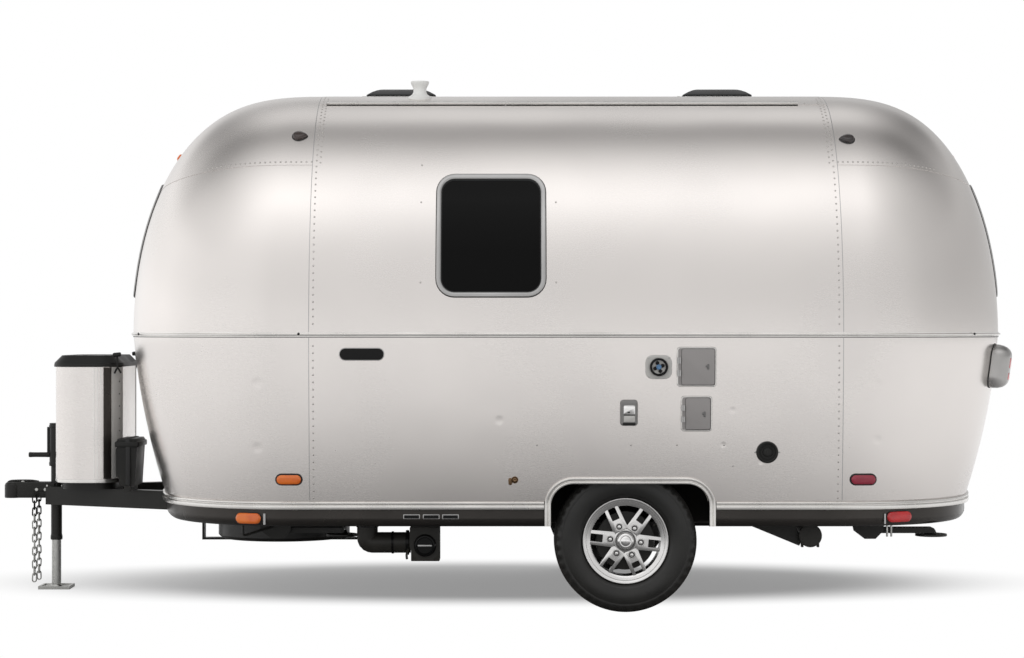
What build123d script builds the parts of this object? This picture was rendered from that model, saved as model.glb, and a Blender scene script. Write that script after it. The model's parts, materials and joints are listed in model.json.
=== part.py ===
"""Riveted aluminium travel caravan on one axle, standing on its wheels and its tongue jack.

Millimetres. +Z is up, the drawbar points along -X, and the road side is -Y.
The origin is on the ground at the middle of the overall length and width.
"""
from build123d import *
import math
import os

# Overall body
body_half_width = 1220.0
barrel_front_x = -884.0
barrel_rear_x = 1579.0
front_end_length = 985.0
rear_end_length = 922.0
shell_bottom_z = 530.0
belt_z = 1310.0
roof_z = 2510.0
wall = 50.0
end_tuck = 155.0
side_tuck = 55.0
roof_panel_half_width = 600.0

# Shape of the plan outline, as shares of its half width
corner_radius_share = 0.6
nose_radius_share = 2.2
# Straight share of the tuck below the belt; the rest grows with its square
tuck_straight_share = 0.4
# Above the belt the outline shrinks by (1 - height share ^ power) ^ (1 / root)
roof_curve_power = 2
roof_curve_root = 3
# Heights of the sections above and below the belt, as shares of the height from the belt
upper_height_shares = (0, 0.22, 0.42, 0.6, 0.75, 0.86, 0.935, 0.976, 0.995)
lower_height_shares = (0, 0.5, 1)

# Clearances
seat_gap = 0.3
moving_gap = 5.0
overrun = 200.0

# Floor, underbelly and rails
floor_thickness = 18.0
underbelly_bottom_z = 408.0
underbelly_inset = 8.0
underbelly_round = 40.0
underbelly_sheet = 16.0
rub_rail_top_z = 529.0
rub_rail_height = 41.0
rub_rail_depth = 22.0
belt_rail_height = 22.0
belt_rail_depth = 14.0
roof_rail_depth = 14.0
roof_rail_width = 34.0
roof_rail_y = 600.0
roof_rail_front_x = -860.0
roof_rail_rear_x = 1450.0
tank_pan_drop = 38.0
tank_pan_half_width = 640.0
front_pan_x = (-130.0, 340.0)
rear_pan_x = (840.0, 1290.0)

# Wheels
wheel_x = 584.0
tyre_radius = 336.5
tyre_width = 205.0
tyre_outer_y = 1105.0
tread_half_width = 82.0
shoulder_radius = 318.0
shoulder_half_width = 99.0
tyre_bulge_radius = 262.0
bead_radius = 190.0
bead_half_width = 76.0
rim_flange_radius = 203.0
rim_flange_width = 8.0
rim_wall = 9.0
rim_drop = 14.0
rim_drop_half_width = 45.0
spoke_pairs = 6
spoke_width = 19.0
spoke_spacing = 40.0
spoke_depth = 24.0
spoke_face_inset = 12.0
hub_disc_radius = 94.0
drum_radius = 140.0
drum_width = 62.0
hub_cap_radius = 40.0
hub_cap_height = 26.0
lug_circle_radius = 69.85
lug_radius = 10.0
lug_height = 12.0

# Axle
axle_tube = 72.0
axle_tube_x = 434.0
axle_tube_z = 368.0
axle_arm_thickness = 24.0
axle_arm_width = 60.0
axle_arm_outer_y = 888.0
spindle_radius = 20.0
axle_bracket_length = 180.0
axle_bracket_width = 60.0
axle_bracket_y = 620.0

# Wheel arches and wells
arch_front_x = 232.0
arch_rear_x = 971.0
arch_top_z = 611.0
arch_corner = 105.0
arch_trim_width = 33.0
arch_trim_proud = 16.0
arch_trim_bottom_z = 412.0
well_front_x = 196.0
well_rear_x = 1005.0
well_top_z = 742.0
well_inner_y = 851.0
well_sheet = 4.0

# Windows and door: width and height over the frame
window_width = 512.0
window_height = 580.0
window_z = 1774.0
window_corner = 85.0
window_frame_width = 22.0
window_frame_proud = 12.0
glass_inset = 3.0
glass_thickness = 12.0
# Side windows: middle along the body, and side (-1 is the road side)
window_table = ((-49.0, -1), (275.0, 1), (1105.0, 1))
end_window_width = 900.0
end_window_height = 560.0
door_front_x = -800.0
door_rear_x = -150.0
door_bottom_z = 566.0
door_top_z = 2130.0
door_corner = 110.0
door_rear_relief = 30.0
door_flange_lap = 22.0
door_flange_thickness = 4.0
door_window_height = 480.0
door_window_margin = 110.0
door_window_z = 1720.0
door_hinge_outboard = 25.0
hinge_radius = 10.0
hinge_height = 90.0
hinge_leaf = 44.0
hinge_leaf_thickness = 6.0
# Heights of the door hinges
door_hinge_zs = (700.0, 1130.0, 1560.0)
door_handle_z = 1090.0
door_handle_width = 60.0
door_handle_height = 130.0
door_handle_proud = 26.0

# Road side fittings: middle, width and height
hatch_frame_width = 14.0
hatch_proud = 9.0
hatch_depth = 40.0
hatch_back = 6.0
hatch_gap = 7.0
hatch_lid_thickness = 12.0
hatch_hinge_radius = 5.0
hatch_hinge_outboard = 7.0
# Height of each knuckle, as a share of the hatch's height
hatch_knuckle_share = 0.16
# Hatches: name, middle x, middle z, width, height
hatch_table = (
    ("upper", 909.0, 1159.0, 184.0, 184.0),
    ("lower", 909.0, 941.0, 145.0, 164.0),
)
inlet_x = 732.0
inlet_z = 1158.0
inlet_width = 125.0
inlet_height = 113.0
inlet_plate = 10.0
inlet_ring_radius = 42.0
inlet_socket_radius = 31.0
inlet_ring_proud = 34.0
outlet_x = 594.0
outlet_z = 945.0
outlet_width = 82.0
outlet_height = 121.0
outlet_proud = 28.0
round_vent_x = 1240.0
round_vent_z = 760.0
round_vent_radius = 51.5
round_vent_proud = 16.0
small_fixture_x = 54.0
small_fixture_z = 626.0
small_fixture_radius = 25.0
small_fixture_proud = 14.0

# Lamps: middle x and middle z; each is on both sides
side_lamp_width = 120.0
side_lamp_height = 49.0
side_lamp_proud = 20.0
side_lamp_z = 632.0
clearance_lamp_radius = 38.0
clearance_lamp_proud = 24.0
# Lamps of each end: name, end, x of the low side lamp, x and z of the roof corner lamp
lamp_table = (
    ("amber_lamps", -1, -993.0, -967.0, 2256.0),
    ("red_lamps", 1, 1690.0, 1652.0, 2241.0),
)
# Corner radius of a capsule, as a share of half its height
round_share = 0.95
end_lamp_z = 2200.0
end_lamp_spacing = 150.0
tail_lamp_y = 730.0
tail_lamp_z = 1157.0
tail_lamp_width = 130.0
tail_lamp_height = 212.0
tail_lamp_proud = 88.0

# Roof fittings
vent_size = 330.0
vent_wall = 12.0
vent_flange = 24.0
vent_flange_thickness = 4.0
vent_upstand = 16.0
vent_lid_height = 40.0
vent_lid_lap = 10.0
vent_lid_top_share = 0.55
vent_hinge_radius = 6.0
# Roof vents: name, middle x
vent_table = (("front", -516.0), ("rear", 1094.0))
mast_x = -409.0
mast_y = -450.0
mast_top_z = 2566.0
mast_top_radius = 46.0
mast_neck_radius = 31.0
mast_foot_radius = 60.0
mast_foot_height = 12.0
# Ends of the mast's neck, as shares of its height
mast_neck_share = 0.3
mast_flare_share = 0.5

# Rolled awning on the kerb side
awning_radius = 42.0
awning_outboard = 78.0
awning_z = 2345.0
awning_arm_width = 42.0
awning_arm_proud = 30.0
awning_arm_bottom_z = 980.0
awning_bracket_width = 30.0

# Drawbar
drawbar_tube_width = 60.0
drawbar_tube_height = 92.0
drawbar_top_z = 527.0
drawbar_front_x = -2330.0
drawbar_front_y = 40.0
drawbar_rear_x = -1505.0
drawbar_rear_y = 480.0
drawbar_cross_width = 60.0
coupler_nose_x = -2567.0
coupler_top_z = 560.0
coupler_bottom_z = 466.0
coupler_half_width = 45.0
coupler_channel_half_width = 36.0
ball_socket_radius = 26.0
ball_socket_depth = 40.0
coupler_lever_length = 130.0
coupler_lever_width = 22.0
coupler_lever_thickness = 8.0

# Tongue jack
jack_x = -2300.0
jack_outer_radius = 28.0
jack_inner_radius = 23.7
jack_tube_bottom_z = 250.0
jack_tube_top_z = 640.0
jack_head_radius = 36.0
jack_head_top_z = 850.0
jack_plate_size = 150.0
jack_plate_thickness = 10.0
jack_foot_width = 160.0
jack_foot_thickness = 8.0
jack_foot_lip = 16.0
jack_inner_top_z = 500.0
jack_travel = 225.0
crank_pivot_z = 822.0
crank_arm_x = -2341.0
crank_bottom_z = 687.0
crank_radius = 8.0
grip_radius = 12.0
grip_end_x = -2442.0

# Gas bottle cover and battery box
gas_cover_front_x = -2262.0
gas_cover_rear_x = -1925.0
gas_cover_half_width = 330.0
gas_cover_bottom_z = 579.0
gas_cover_top_z = 1144.0
gas_cover_wall = 20.0
gas_cover_corner = 120.0
gas_lid_top_z = 1202.0
gas_lid_edge = 38.0
gas_lid_lap = 6.0
gas_tray_inset = 30.0
gas_tray_plate = 18.0
battery_front_x = -1915.0
battery_rear_x = -1812.0
battery_inner_y = -200.0
battery_outer_y = -470.0
battery_top_z = 780.0
battery_bottom_z = 555.0
battery_taper = 12.0
battery_bar = 28.0

# Safety chains
chain_y = 60.0
chain_x = -2402.0
chain_bar_radius = 5.0
chain_bar_z = 476.0
chain_wire = 7.0
chain_link_length = 48.0
chain_link_width = 26.0
chain_corner = 8.0
chain_links = 13

# Spare wheel under the nose
spare_x = -1125.0
spare_bottom_z = 262.0
spare_recess_gap = 12.0
spare_carrier_width = 60.0
spare_carrier_thickness = 10.0
spare_carrier_half_length = 420.0
spare_hanger_thickness = 12.0

# Corner stabilisers: name, pivot x, arm side
stabiliser_y = 850.0
stabiliser_length = 300.0
stabiliser_pivot_z = 370.0
stabiliser_bar = 26.0
stabiliser_bar_spacing = 70.0
stabiliser_pin_radius = 8.0
stabiliser_ear = 8.0
stabiliser_ear_length = 56.0
stabiliser_pad_radius = 75.0
stabiliser_pad_thickness = 8.0
stabiliser_pad_drop = 16.0
stabiliser_table = (
    ("front_left", -1068.0, -1),
    ("front_right", -1068.0, 1),
    ("rear_left", 1763.0, -1),
    ("rear_right", 1763.0, 1),
)

# Drain, hose tube and under floor boxes
drain_y = -950.0
drain_pipe_z = 318.0
drain_pipe_radius = 49.0
drain_pipe_front_x = -640.0
drain_pipe_rear_x = -440.0
drain_valve_front_x = -433.0
drain_valve_rear_x = -294.0
drain_valve_top_z = 387.0
drain_valve_bottom_z = 232.0
drain_valve_half_width = 62.0
drain_valve_chamfer = 40.0
drain_cap_radius = 50.0
drain_cap_length = 30.0
drain_flange_radius = 58.0
drain_flange_thickness = 12.0
hose_tube_x = 1468.0
hose_tube_z = 352.0
hose_tube_radius = 50.0
hose_tube_half_length = 960.0
hose_cap_length = 22.0
hose_cap_lap = 4.0
hose_hanger_width = 24.0
hose_hanger_y = 700.0
step_front_x = -700.0
step_rear_x = -240.0
step_outer_y = 1150.0
step_inner_y = 860.0
step_top_z = 396.0
step_tread = 26.0
step_side = 12.0

track_half = tyre_outer_y - tyre_width / 2


def block(x0, x1, y0, y1, z0, z1):
    """Box between two corners."""
    return Pos((x0 + x1) / 2, (y0 + y1) / 2, (z0 + z1) / 2) * Box(x1 - x0, y1 - y0, z1 - z0)


def rod_x(x0, x1, y, z, radius):
    """Round bar along X."""
    return Pos((x0 + x1) / 2, y, z) * Rot(0, 90, 0) * Cylinder(radius, x1 - x0)


def rod_y(x, y0, y1, z, radius):
    """Round bar along Y."""
    return Pos(x, (y0 + y1) / 2, z) * Rot(90, 0, 0) * Cylinder(radius, y1 - y0)


def rod_z(x, y, z0, z1, radius):
    """Round bar along Z."""
    return Pos(x, y, (z0 + z1) / 2) * Cylinder(radius, z1 - z0)


def side_prism(x, z, width, height, radius, side):
    """Rounded rectangle seen from one side, from the middle plane out past the body."""
    plane = Plane(origin=(x, 0, z), x_dir=(1, 0, 0), z_dir=(0, side, 0))
    return extrude(plane * RectangleRounded(width, height, radius), body_half_width + overrun)


def end_prism(y, z, width, height, radius, end):
    """Rounded rectangle seen from the front (-1) or rear (1), running out past the body."""
    base = barrel_front_x if end < 0 else barrel_rear_x
    plane = Plane(origin=(base, y, z), x_dir=(0, 1, 0), z_dir=(end, 0, 0))
    return extrude(plane * RectangleRounded(width, height, radius), front_end_length + overrun)


def other_side(shape):
    """Copy of a shape on the other side of the middle plane."""
    return mirror(shape, Plane.XZ)


def both_sides(shape):
    """The shape and its copy on the other side."""
    return shape + other_side(shape)


def plan_outline(front_length, rear_length, half_width, z):
    """Closed plan outline: two straight sides, four corner arcs and an arc across each end."""
    small = corner_radius_share * half_width
    large = nose_radius_share * half_width
    inset = half_width - small
    rise = inset / (large - small)
    run = math.sqrt(1 - rise * rise)
    middle = (math.pi / 2 + math.asin(rise)) / 2
    ends = []
    for base, length, way in ((barrel_rear_x, rear_length, 1), (barrel_front_x, front_length, -1)):
        centre = length - large + (large - small) * run
        start = (base + way * centre, half_width)
        bend = (start[0] + way * small * math.cos(middle), inset + small * math.sin(middle))
        join = (start[0] + way * small * run, inset + small * rise)
        ends.append((start, bend, join, (base + way * length, 0)))
    (start_r, bend_r, join_r, tip_r), (start_f, bend_f, join_f, tip_f) = ends

    def at(point, side):
        return (point[0], side * point[1], z)

    return Wire(
        [
            Line(at(start_f, -1), at(start_r, -1)),
            ThreePointArc(at(start_r, -1), at(bend_r, -1), at(join_r, -1)),
            ThreePointArc(at(join_r, -1), at(tip_r, 1), at(join_r, 1)),
            ThreePointArc(at(join_r, 1), at(bend_r, 1), at(start_r, 1)),
            Line(at(start_r, 1), at(start_f, 1)),
            ThreePointArc(at(start_f, 1), at(bend_f, 1), at(join_f, 1)),
            ThreePointArc(at(join_f, 1), at(tip_f, 1), at(join_f, -1)),
            ThreePointArc(at(join_f, -1), at(bend_f, -1), at(start_f, -1)),
        ]
    )


def roof_shrink(share):
    """How much the outline has shrunk at a share of the height from belt to roof."""
    return (1 - share**roof_curve_power) ** (1 / roof_curve_root)


def side_tuck_at(share):
    """Share of the tuck reached at a share of the height from the belt down."""
    return tuck_straight_share * share + (1 - tuck_straight_share) * share**2


def upper_body(offset):
    """Solid above the belt whose surface is moved out by the offset."""
    wires = []
    for share in upper_height_shares:
        shrink = roof_shrink(share)
        wires.append(
            plan_outline(
                (front_end_length + offset) * shrink,
                (rear_end_length + offset) * shrink,
                (body_half_width + offset) * shrink,
                belt_z + share * (roof_z + offset - belt_z),
            )
        )
    return Solid.make_loft(wires)


def lower_body(offset):
    """Solid below the belt whose surface is moved out by the offset."""
    wires = []
    for share in lower_height_shares:
        tuck = side_tuck_at(share)
        wires.append(
            plan_outline(
                front_end_length + offset - end_tuck * tuck,
                rear_end_length + offset - end_tuck * tuck,
                body_half_width + offset - side_tuck * tuck,
                belt_z - share * (belt_z - shell_bottom_z),
            )
        )
    return Solid.make_loft(wires)


def bottom_plan(offset, z0, z1):
    """Upright solid with the plan outline of the shell's bottom edge, moved out by the offset."""
    outline = plan_outline(
        front_end_length + offset - end_tuck,
        rear_end_length + offset - end_tuck,
        body_half_width + offset - side_tuck,
        z0,
    )
    return extrude(Face(outline), z1 - z0, dir=(0, 0, 1))


def belt_plan(offset, z0, z1):
    """Upright solid with the plan outline of the belt, moved out by the offset."""
    outline = plan_outline(
        front_end_length + offset, rear_end_length + offset, body_half_width + offset, z0
    )
    return extrude(Face(outline), z1 - z0, dir=(0, 0, 1))


def layer(body, outer, inner, region):
    """What lies between two offsets of a body surface inside a region."""
    return (body(outer) & region) - body(inner)


def skin_y(z, offset=0.0):
    """Half width of the body at a height, at an offset from the skin."""
    if z < belt_z:
        share = (belt_z - z) / (belt_z - shell_bottom_z)
        return body_half_width + offset - side_tuck * side_tuck_at(share)
    share = (z - belt_z) / (roof_z + offset - belt_z)
    return (body_half_width + offset) * roof_shrink(share)


def door_region(inset, front, rear):
    """Upright prism of the door's outline, smaller all round by the inset."""
    x0 = door_front_x + inset + front
    x1 = door_rear_x - inset - rear
    z0 = door_bottom_z + inset
    z1 = door_top_z - inset
    return side_prism(
        (x0 + x1) / 2, (z0 + z1) / 2, x1 - x0, z1 - z0, door_corner - inset / 2, 1
    )


def arch_prism(grow, side):
    """Wheel opening in the side, larger all round by a width and open at the bottom."""
    x0 = arch_front_x - grow
    x1 = arch_rear_x + grow
    top = arch_top_z + grow
    height = top + overrun
    return side_prism((x0 + x1) / 2, top - height / 2, x1 - x0, height, arch_corner + grow, side)


def make_shell():
    """The nine outer panels, each as thick as the whole wall."""
    upper = upper_body(0) - upper_body(-wall)
    lower = lower_body(0) - lower_body(-wall)
    for x, side in window_table:
        upper -= side_prism(x, window_z, window_width, window_height, window_corner, side)
    for end in (-1, 1):
        upper -= end_prism(0, window_z, end_window_width, end_window_height, window_corner, end)
    upper -= door_region(0, 0, 0)
    lower -= door_region(0, 0, 0)
    for name, x, z, width, height in hatch_table:
        lower -= side_prism(x, z, width, height, hatch_frame_width, -1)
    for side in (-1, 1):
        lower -= arch_prism(0, side)
    for name, x in vent_table:
        half = vent_size / 2
        upper -= block(x - half, x + half, -half, half, belt_z + overrun, roof_z + overrun)
    far = body_half_width + front_end_length + rear_end_length
    rear = block(barrel_rear_x, far, -far, far, 0, far)
    front = block(-far, barrel_front_x, -far, far, 0, far)
    middle = block(barrel_front_x, barrel_rear_x, -far, far, 0, far)
    crown = block(-far, far, -roof_panel_half_width, roof_panel_half_width, belt_z + overrun, far)
    left = block(-far, far, -far, 0, 0, far)
    right = block(-far, far, 0, far, 0, far)
    barrel = upper & middle
    sides = barrel - crown
    return {
        "shell_front_upper": upper & front,
        "shell_rear_upper": upper & rear,
        "shell_roof": barrel & crown,
        "shell_left_upper": sides & left,
        "shell_right_upper": sides & right,
        "shell_front_lower": lower & front,
        "shell_rear_lower": lower & rear,
        "shell_left_lower": (lower & middle) & left,
        "shell_right_lower": (lower & middle) & right,
    }


def well_box(side, grow):
    """Space of one wheel well, larger by a thickness on its inner, upper and end faces."""
    y0 = well_inner_y - grow
    y1 = body_half_width
    box = block(
        well_front_x - grow, well_rear_x + grow, y0, y1, underbelly_bottom_z, well_top_z + grow
    )
    inset = -wall - seat_gap
    upper = box & lower_body(inset)
    box = upper + (box & bottom_plan(inset, underbelly_bottom_z, shell_bottom_z))
    return box if side > 0 else other_side(box)


def make_wheel_wells():
    """Sheet boxes over the tyres, open below and towards the side."""
    wells = []
    for side in (-1, 1):
        outer = well_box(side, well_sheet)
        y0 = well_inner_y
        y1 = body_half_width + overrun
        inner = block(well_front_x, well_rear_x, y0, y1, 0, well_top_z)
        if side < 0:
            inner = other_side(inner)
        wells.append(outer - inner)
    return wells[0] + wells[1]


def make_floor():
    """Floor panel inside the walls, cut round the wheel wells."""
    top = shell_bottom_z + floor_thickness
    floor = bottom_plan(-wall - seat_gap, shell_bottom_z, top)
    for side in (-1, 1):
        floor -= well_box(side, well_sheet + seat_gap)
    return floor


def drawbar_tubes(grow):
    """The two slanting tubes of the A frame, larger all round by a clearance."""
    run = drawbar_rear_x - drawbar_front_x
    spread = drawbar_rear_y - drawbar_front_y
    length = math.hypot(run, spread)
    angle = math.degrees(math.atan2(spread, run))
    z = drawbar_top_z - drawbar_tube_height / 2
    tube = Box(length + grow, drawbar_tube_width + 2 * grow, drawbar_tube_height + 2 * grow)
    middle = ((drawbar_front_x + drawbar_rear_x) / 2, (drawbar_front_y + drawbar_rear_y) / 2, z)
    return both_sides(Pos(*middle) * Rot(0, 0, angle) * tube)


def cross_member(x, half_width, grow):
    """Cross tube between the slanting tubes."""
    z1 = drawbar_top_z + grow
    z0 = drawbar_top_z - drawbar_tube_height - grow
    half = drawbar_cross_width / 2 + grow
    return block(x - half, x + half, -half_width - grow, half_width + grow, z0, z1)


def make_underbelly():
    """Hollow pan below the floor, with its edge rolled under and the spare wheel's recess."""
    top = shell_bottom_z - seat_gap
    pan = bottom_plan(-underbelly_inset, underbelly_bottom_z, top)
    pan = fillet(pan.faces().sort_by(Axis.Z)[0].edges(), underbelly_round)
    inner = bottom_plan(
        -underbelly_inset - underbelly_round, underbelly_bottom_z + underbelly_sheet, top
    )
    pan -= inner
    half = tank_pan_half_width
    z0 = underbelly_bottom_z - tank_pan_drop
    z1 = underbelly_bottom_z + underbelly_sheet
    for x0, x1 in (front_pan_x, rear_pan_x):
        tank = block(x0, x1, -half, half, z0, z1)
        pan += chamfer(tank.faces().sort_by(Axis.Z)[0].edges(), tank_pan_drop / 2)
    edge = both_sides(block(-overrun, barrel_rear_x, well_inner_y, body_half_width, 0, top))
    for side in (-1, 1):
        pan -= well_box(side, well_sheet + seat_gap)
        pan -= arch_prism(arch_trim_width, side) & edge
    pan -= rod_z(spare_x, 0, 0, top, tyre_radius + spare_recess_gap)
    pan -= drawbar_tubes(seat_gap)
    pan -= cross_member(drawbar_rear_x, drawbar_rear_y, seat_gap)
    return pan


def make_rub_rail():
    """Bumper rail round the bottom edge of the body."""
    z1 = rub_rail_top_z
    z0 = z1 - rub_rail_height
    rail = bottom_plan(rub_rail_depth - underbelly_inset, z0, z1)
    rail -= bottom_plan(-underbelly_inset + seat_gap, z0, z1)
    for side in (-1, 1):
        rail -= arch_prism(arch_trim_width + seat_gap, side)
    return rail - drawbar_tubes(seat_gap)


def make_belt_rail():
    """Thin rail round the belt, open at the door."""
    z0 = belt_z - belt_rail_height / 2
    z1 = belt_z + belt_rail_height / 2
    rail = belt_plan(belt_rail_depth, z0, z1) - belt_plan(seat_gap, z0, z1)
    lap = door_flange_lap + moving_gap
    gap = block(
        door_front_x - lap, door_rear_x + lap, 0, body_half_width + overrun, z0, z1
    )
    return rail - gap


def make_roof_rails():
    """Rails along both edges of the roof; the road side one has its joint left of the middle."""
    region = block(
        roof_rail_front_x,
        roof_rail_rear_x,
        -roof_rail_y - roof_rail_width / 2,
        -roof_rail_y + roof_rail_width / 2,
        belt_z + overrun,
        roof_z,
    )
    return both_sides(layer(upper_body, roof_rail_depth, seat_gap, region))


def make_arch_trims():
    """Trim bands round the wheel openings, running down past the bottom rail."""
    z0 = arch_trim_bottom_z
    trims = []
    for side in (-1, 1):
        band = arch_prism(arch_trim_width, side) - arch_prism(0, side)
        upper = layer(lower_body, arch_trim_proud, seat_gap, band)
        leg = bottom_plan(arch_trim_proud, z0, shell_bottom_z)
        leg -= bottom_plan(-wall, z0, shell_bottom_z)
        trims.append(upper + (leg & band))
    return trims[0] + trims[1]


def ring_and_glass(body, outer, inner):
    """Frame that follows the skin, and the pane inside it."""
    frame = layer(body, window_frame_proud, -wall, outer) - inner
    pane = layer(body, -glass_inset, -glass_inset - glass_thickness, inner)
    return frame, pane


def make_windows():
    """Frames and panes of the side and end windows."""
    frames = []
    panes = []
    trim = 2 * window_frame_width
    radius = window_corner - window_frame_width
    for x, side in window_table:
        outer = side_prism(x, window_z, window_width, window_height, window_corner, side)
        inner = side_prism(x, window_z, window_width - trim, window_height - trim, radius, side)
        frame, pane = ring_and_glass(upper_body, outer, inner)
        frames.append(frame)
        panes.append(pane)
    for end in (-1, 1):
        outer = end_prism(0, window_z, end_window_width, end_window_height, window_corner, end)
        inner = end_prism(
            0, window_z, end_window_width - trim, end_window_height - trim, radius, end
        )
        frame, pane = ring_and_glass(upper_body, outer, inner)
        frames.append(frame)
        panes.append(pane)
    return Compound(frames), Compound(panes)


def door_window(grow):
    """Prism of the window in the door."""
    x0 = door_front_x + door_window_margin - grow
    x1 = door_rear_x - door_rear_relief - door_window_margin + grow
    height = door_window_height + 2 * grow
    radius = window_corner - window_frame_width + grow
    return side_prism((x0 + x1) / 2, door_window_z, x1 - x0, height, radius, 1)


def make_door():
    """Door panel with a lapping edge, its frame and pane, its handle and its hinge pins."""
    inner_edge = door_region(moving_gap, 0, door_rear_relief)
    panel = layer(upper_body, 0, -wall, inner_edge) + layer(lower_body, 0, -wall, inner_edge)
    lap = door_region(-door_flange_lap, door_flange_lap + moving_gap, 0)
    thick = seat_gap + door_flange_thickness
    skin = layer(upper_body, thick, seat_gap, lap) + layer(lower_body, thick, seat_gap, lap)
    filler = layer(upper_body, thick, 0, inner_edge) + layer(lower_body, thick, 0, inner_edge)
    panel = panel + filler + skin
    panel -= door_window(0)
    frame = layer(upper_body, thick + window_frame_proud, 0, door_window(window_frame_width))
    panel += frame - door_window(0)
    pane = layer(upper_body, -glass_inset, -glass_inset - glass_thickness, door_window(0))
    return panel, pane


def hinge_axis_y():
    """Distance of the door's hinge line from the middle plane."""
    return body_half_width + door_hinge_outboard


def make_door_hinges():
    """Knuckles fixed to the body, and knuckles and straps fixed to the door."""
    x = door_front_x
    y = hinge_axis_y()
    fixed = []
    moving = []
    third = hinge_height / 3
    for z in door_hinge_zs:
        face = skin_y(z)
        for low in (-hinge_height / 2, hinge_height / 2 - third):
            knuckle = rod_z(x, y, z + low, z + low + third - seat_gap, hinge_radius)
            leaf = block(
                x - hinge_leaf, x, face + seat_gap, y, z + low, z + low + third - seat_gap
            )
            leaf -= block(
                x - hinge_leaf, x - hinge_radius, face + hinge_leaf_thickness * 2, y + overrun,
                z + low, z + low + third,
            )
            fixed.append((knuckle + leaf) - lower_upper_skin(z, seat_gap))
        low = -hinge_height / 2 + third
        knuckle = rod_z(x, y, z + low, z + low + third - seat_gap, hinge_radius)
        front = x + moving_gap + seat_gap
        leaf = block(front, x + hinge_leaf, face - wall / 2, y, z + low, z + low + third - seat_gap)
        arm = block(x, front, y - hinge_radius, y, z + low, z + low + third - seat_gap)
        thick = seat_gap + door_flange_thickness
        moving.append((knuckle + arm + leaf) - lower_upper_skin(z, thick))
    return Compound(fixed), moving


def lower_upper_skin(z, offset):
    """Body solid that holds a height, out to an offset of the skin."""
    return lower_body(offset) if z < belt_z else upper_body(offset)


def make_door_handle():
    """Handle plate and grip near the door's free edge."""
    x = door_rear_x - door_rear_relief - moving_gap - door_handle_width / 2
    region = side_prism(
        x, door_handle_z, door_handle_width, door_handle_height, door_handle_width / 3, 1
    )
    thick = seat_gap + door_flange_thickness
    return layer(lower_body, thick + door_handle_proud, thick, region)


def make_hatches():
    """Frames with closed backs, and lids hinged at their forward edges."""
    frames = []
    lids = {}
    for name, x, z, width, height in hatch_table:
        outer = side_prism(x, z, width, height, hatch_frame_width, -1)
        trim = 2 * hatch_frame_width
        inner = side_prism(x, z, width - trim, height - trim, hatch_frame_width / 2, -1)
        cup = layer(lower_body, hatch_proud, -hatch_depth, outer)
        cup -= layer(lower_body, hatch_proud + hatch_depth, -hatch_depth + hatch_back, inner)
        frames.append(cup)
        slot = 2 * (hatch_frame_width + hatch_gap)
        lid_region = side_prism(x, z, width - slot, height - slot, hatch_frame_width / 4, -1)
        lid = layer(
            lower_body, hatch_proud, hatch_proud - hatch_lid_thickness, lid_region
        )
        lids[name] = lid
    return frames, lids


def hatch_hinge(x, z, width, height):
    """Place of a hatch's upright hinge line."""
    left = x - width / 2 + hatch_frame_width
    return left, -skin_y(z + height / 2, hatch_proud + hatch_hinge_outboard)


def make_hatch_hinges(frames, lids):
    """Adds the knuckles: outer ones on the frame, the middle one on the lid."""
    for index, (name, x, z, width, height) in enumerate(hatch_table):
        left, y = hatch_hinge(x, z, width, height)
        radius = hatch_hinge_radius
        third = height * hatch_knuckle_share
        for low in (-3 * third / 2, third / 2):
            z0 = z + low
            z1 = z0 + third - seat_gap
            knuckle = rod_z(left, y, z0, z1, radius)
            foot = block(left - hatch_frame_width, left, y, y + 3 * radius, z0, z1)
            foot -= lower_body(hatch_proud)
            frames[index] += knuckle + foot
        z0 = z - third / 2
        z1 = z0 + third - seat_gap
        knuckle = rod_z(left, y, z0, z1, radius)
        end = left + 3 * hatch_frame_width
        strap = block(left, end, y - radius, y, z0, z1)
        foot = block(end - hatch_frame_width, end, y, y + 6 * radius, z0, z1)
        foot -= lower_body(hatch_proud - hatch_lid_thickness / 2)
        lids[name] = lids[name] + knuckle + strap + foot
    return frames, lids


def side_boss(x, z, width, height, radius, proud, side=-1):
    """Raised fitting on the lower side that follows the skin."""
    region = side_prism(x, z, width, height, radius, side)
    return layer(lower_body, proud, seat_gap, region)


def side_drum(x, z, radius, inner, outer, side=-1):
    """Round fitting that points straight out of the side."""
    y0 = skin_y(z, inner)
    y1 = skin_y(z, outer)
    drum = rod_y(x, y0, y1, z, radius)
    return drum if side > 0 else other_side(drum)


def make_shore_inlet():
    """Square plate with a round hooded socket for the supply cable."""
    plate = side_boss(
        inlet_x, inlet_z, inlet_width, inlet_height, inlet_plate, inlet_plate + seat_gap
    )
    ring = side_drum(inlet_x, inlet_z, inlet_ring_radius, inlet_plate / 2, inlet_ring_proud)
    bore = side_drum(inlet_x, inlet_z, inlet_socket_radius, inlet_plate, inlet_ring_proud * 2)
    return plate + ring - bore


def make_tail_lamps():
    """Rounded lamp housings on the rear cap."""
    radius = tail_lamp_width / 2 * round_share
    region = end_prism(
        tail_lamp_y, tail_lamp_z, tail_lamp_width, tail_lamp_height, radius, 1
    )
    return both_sides(layer(lower_body, tail_lamp_proud, seat_gap, region))


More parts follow.
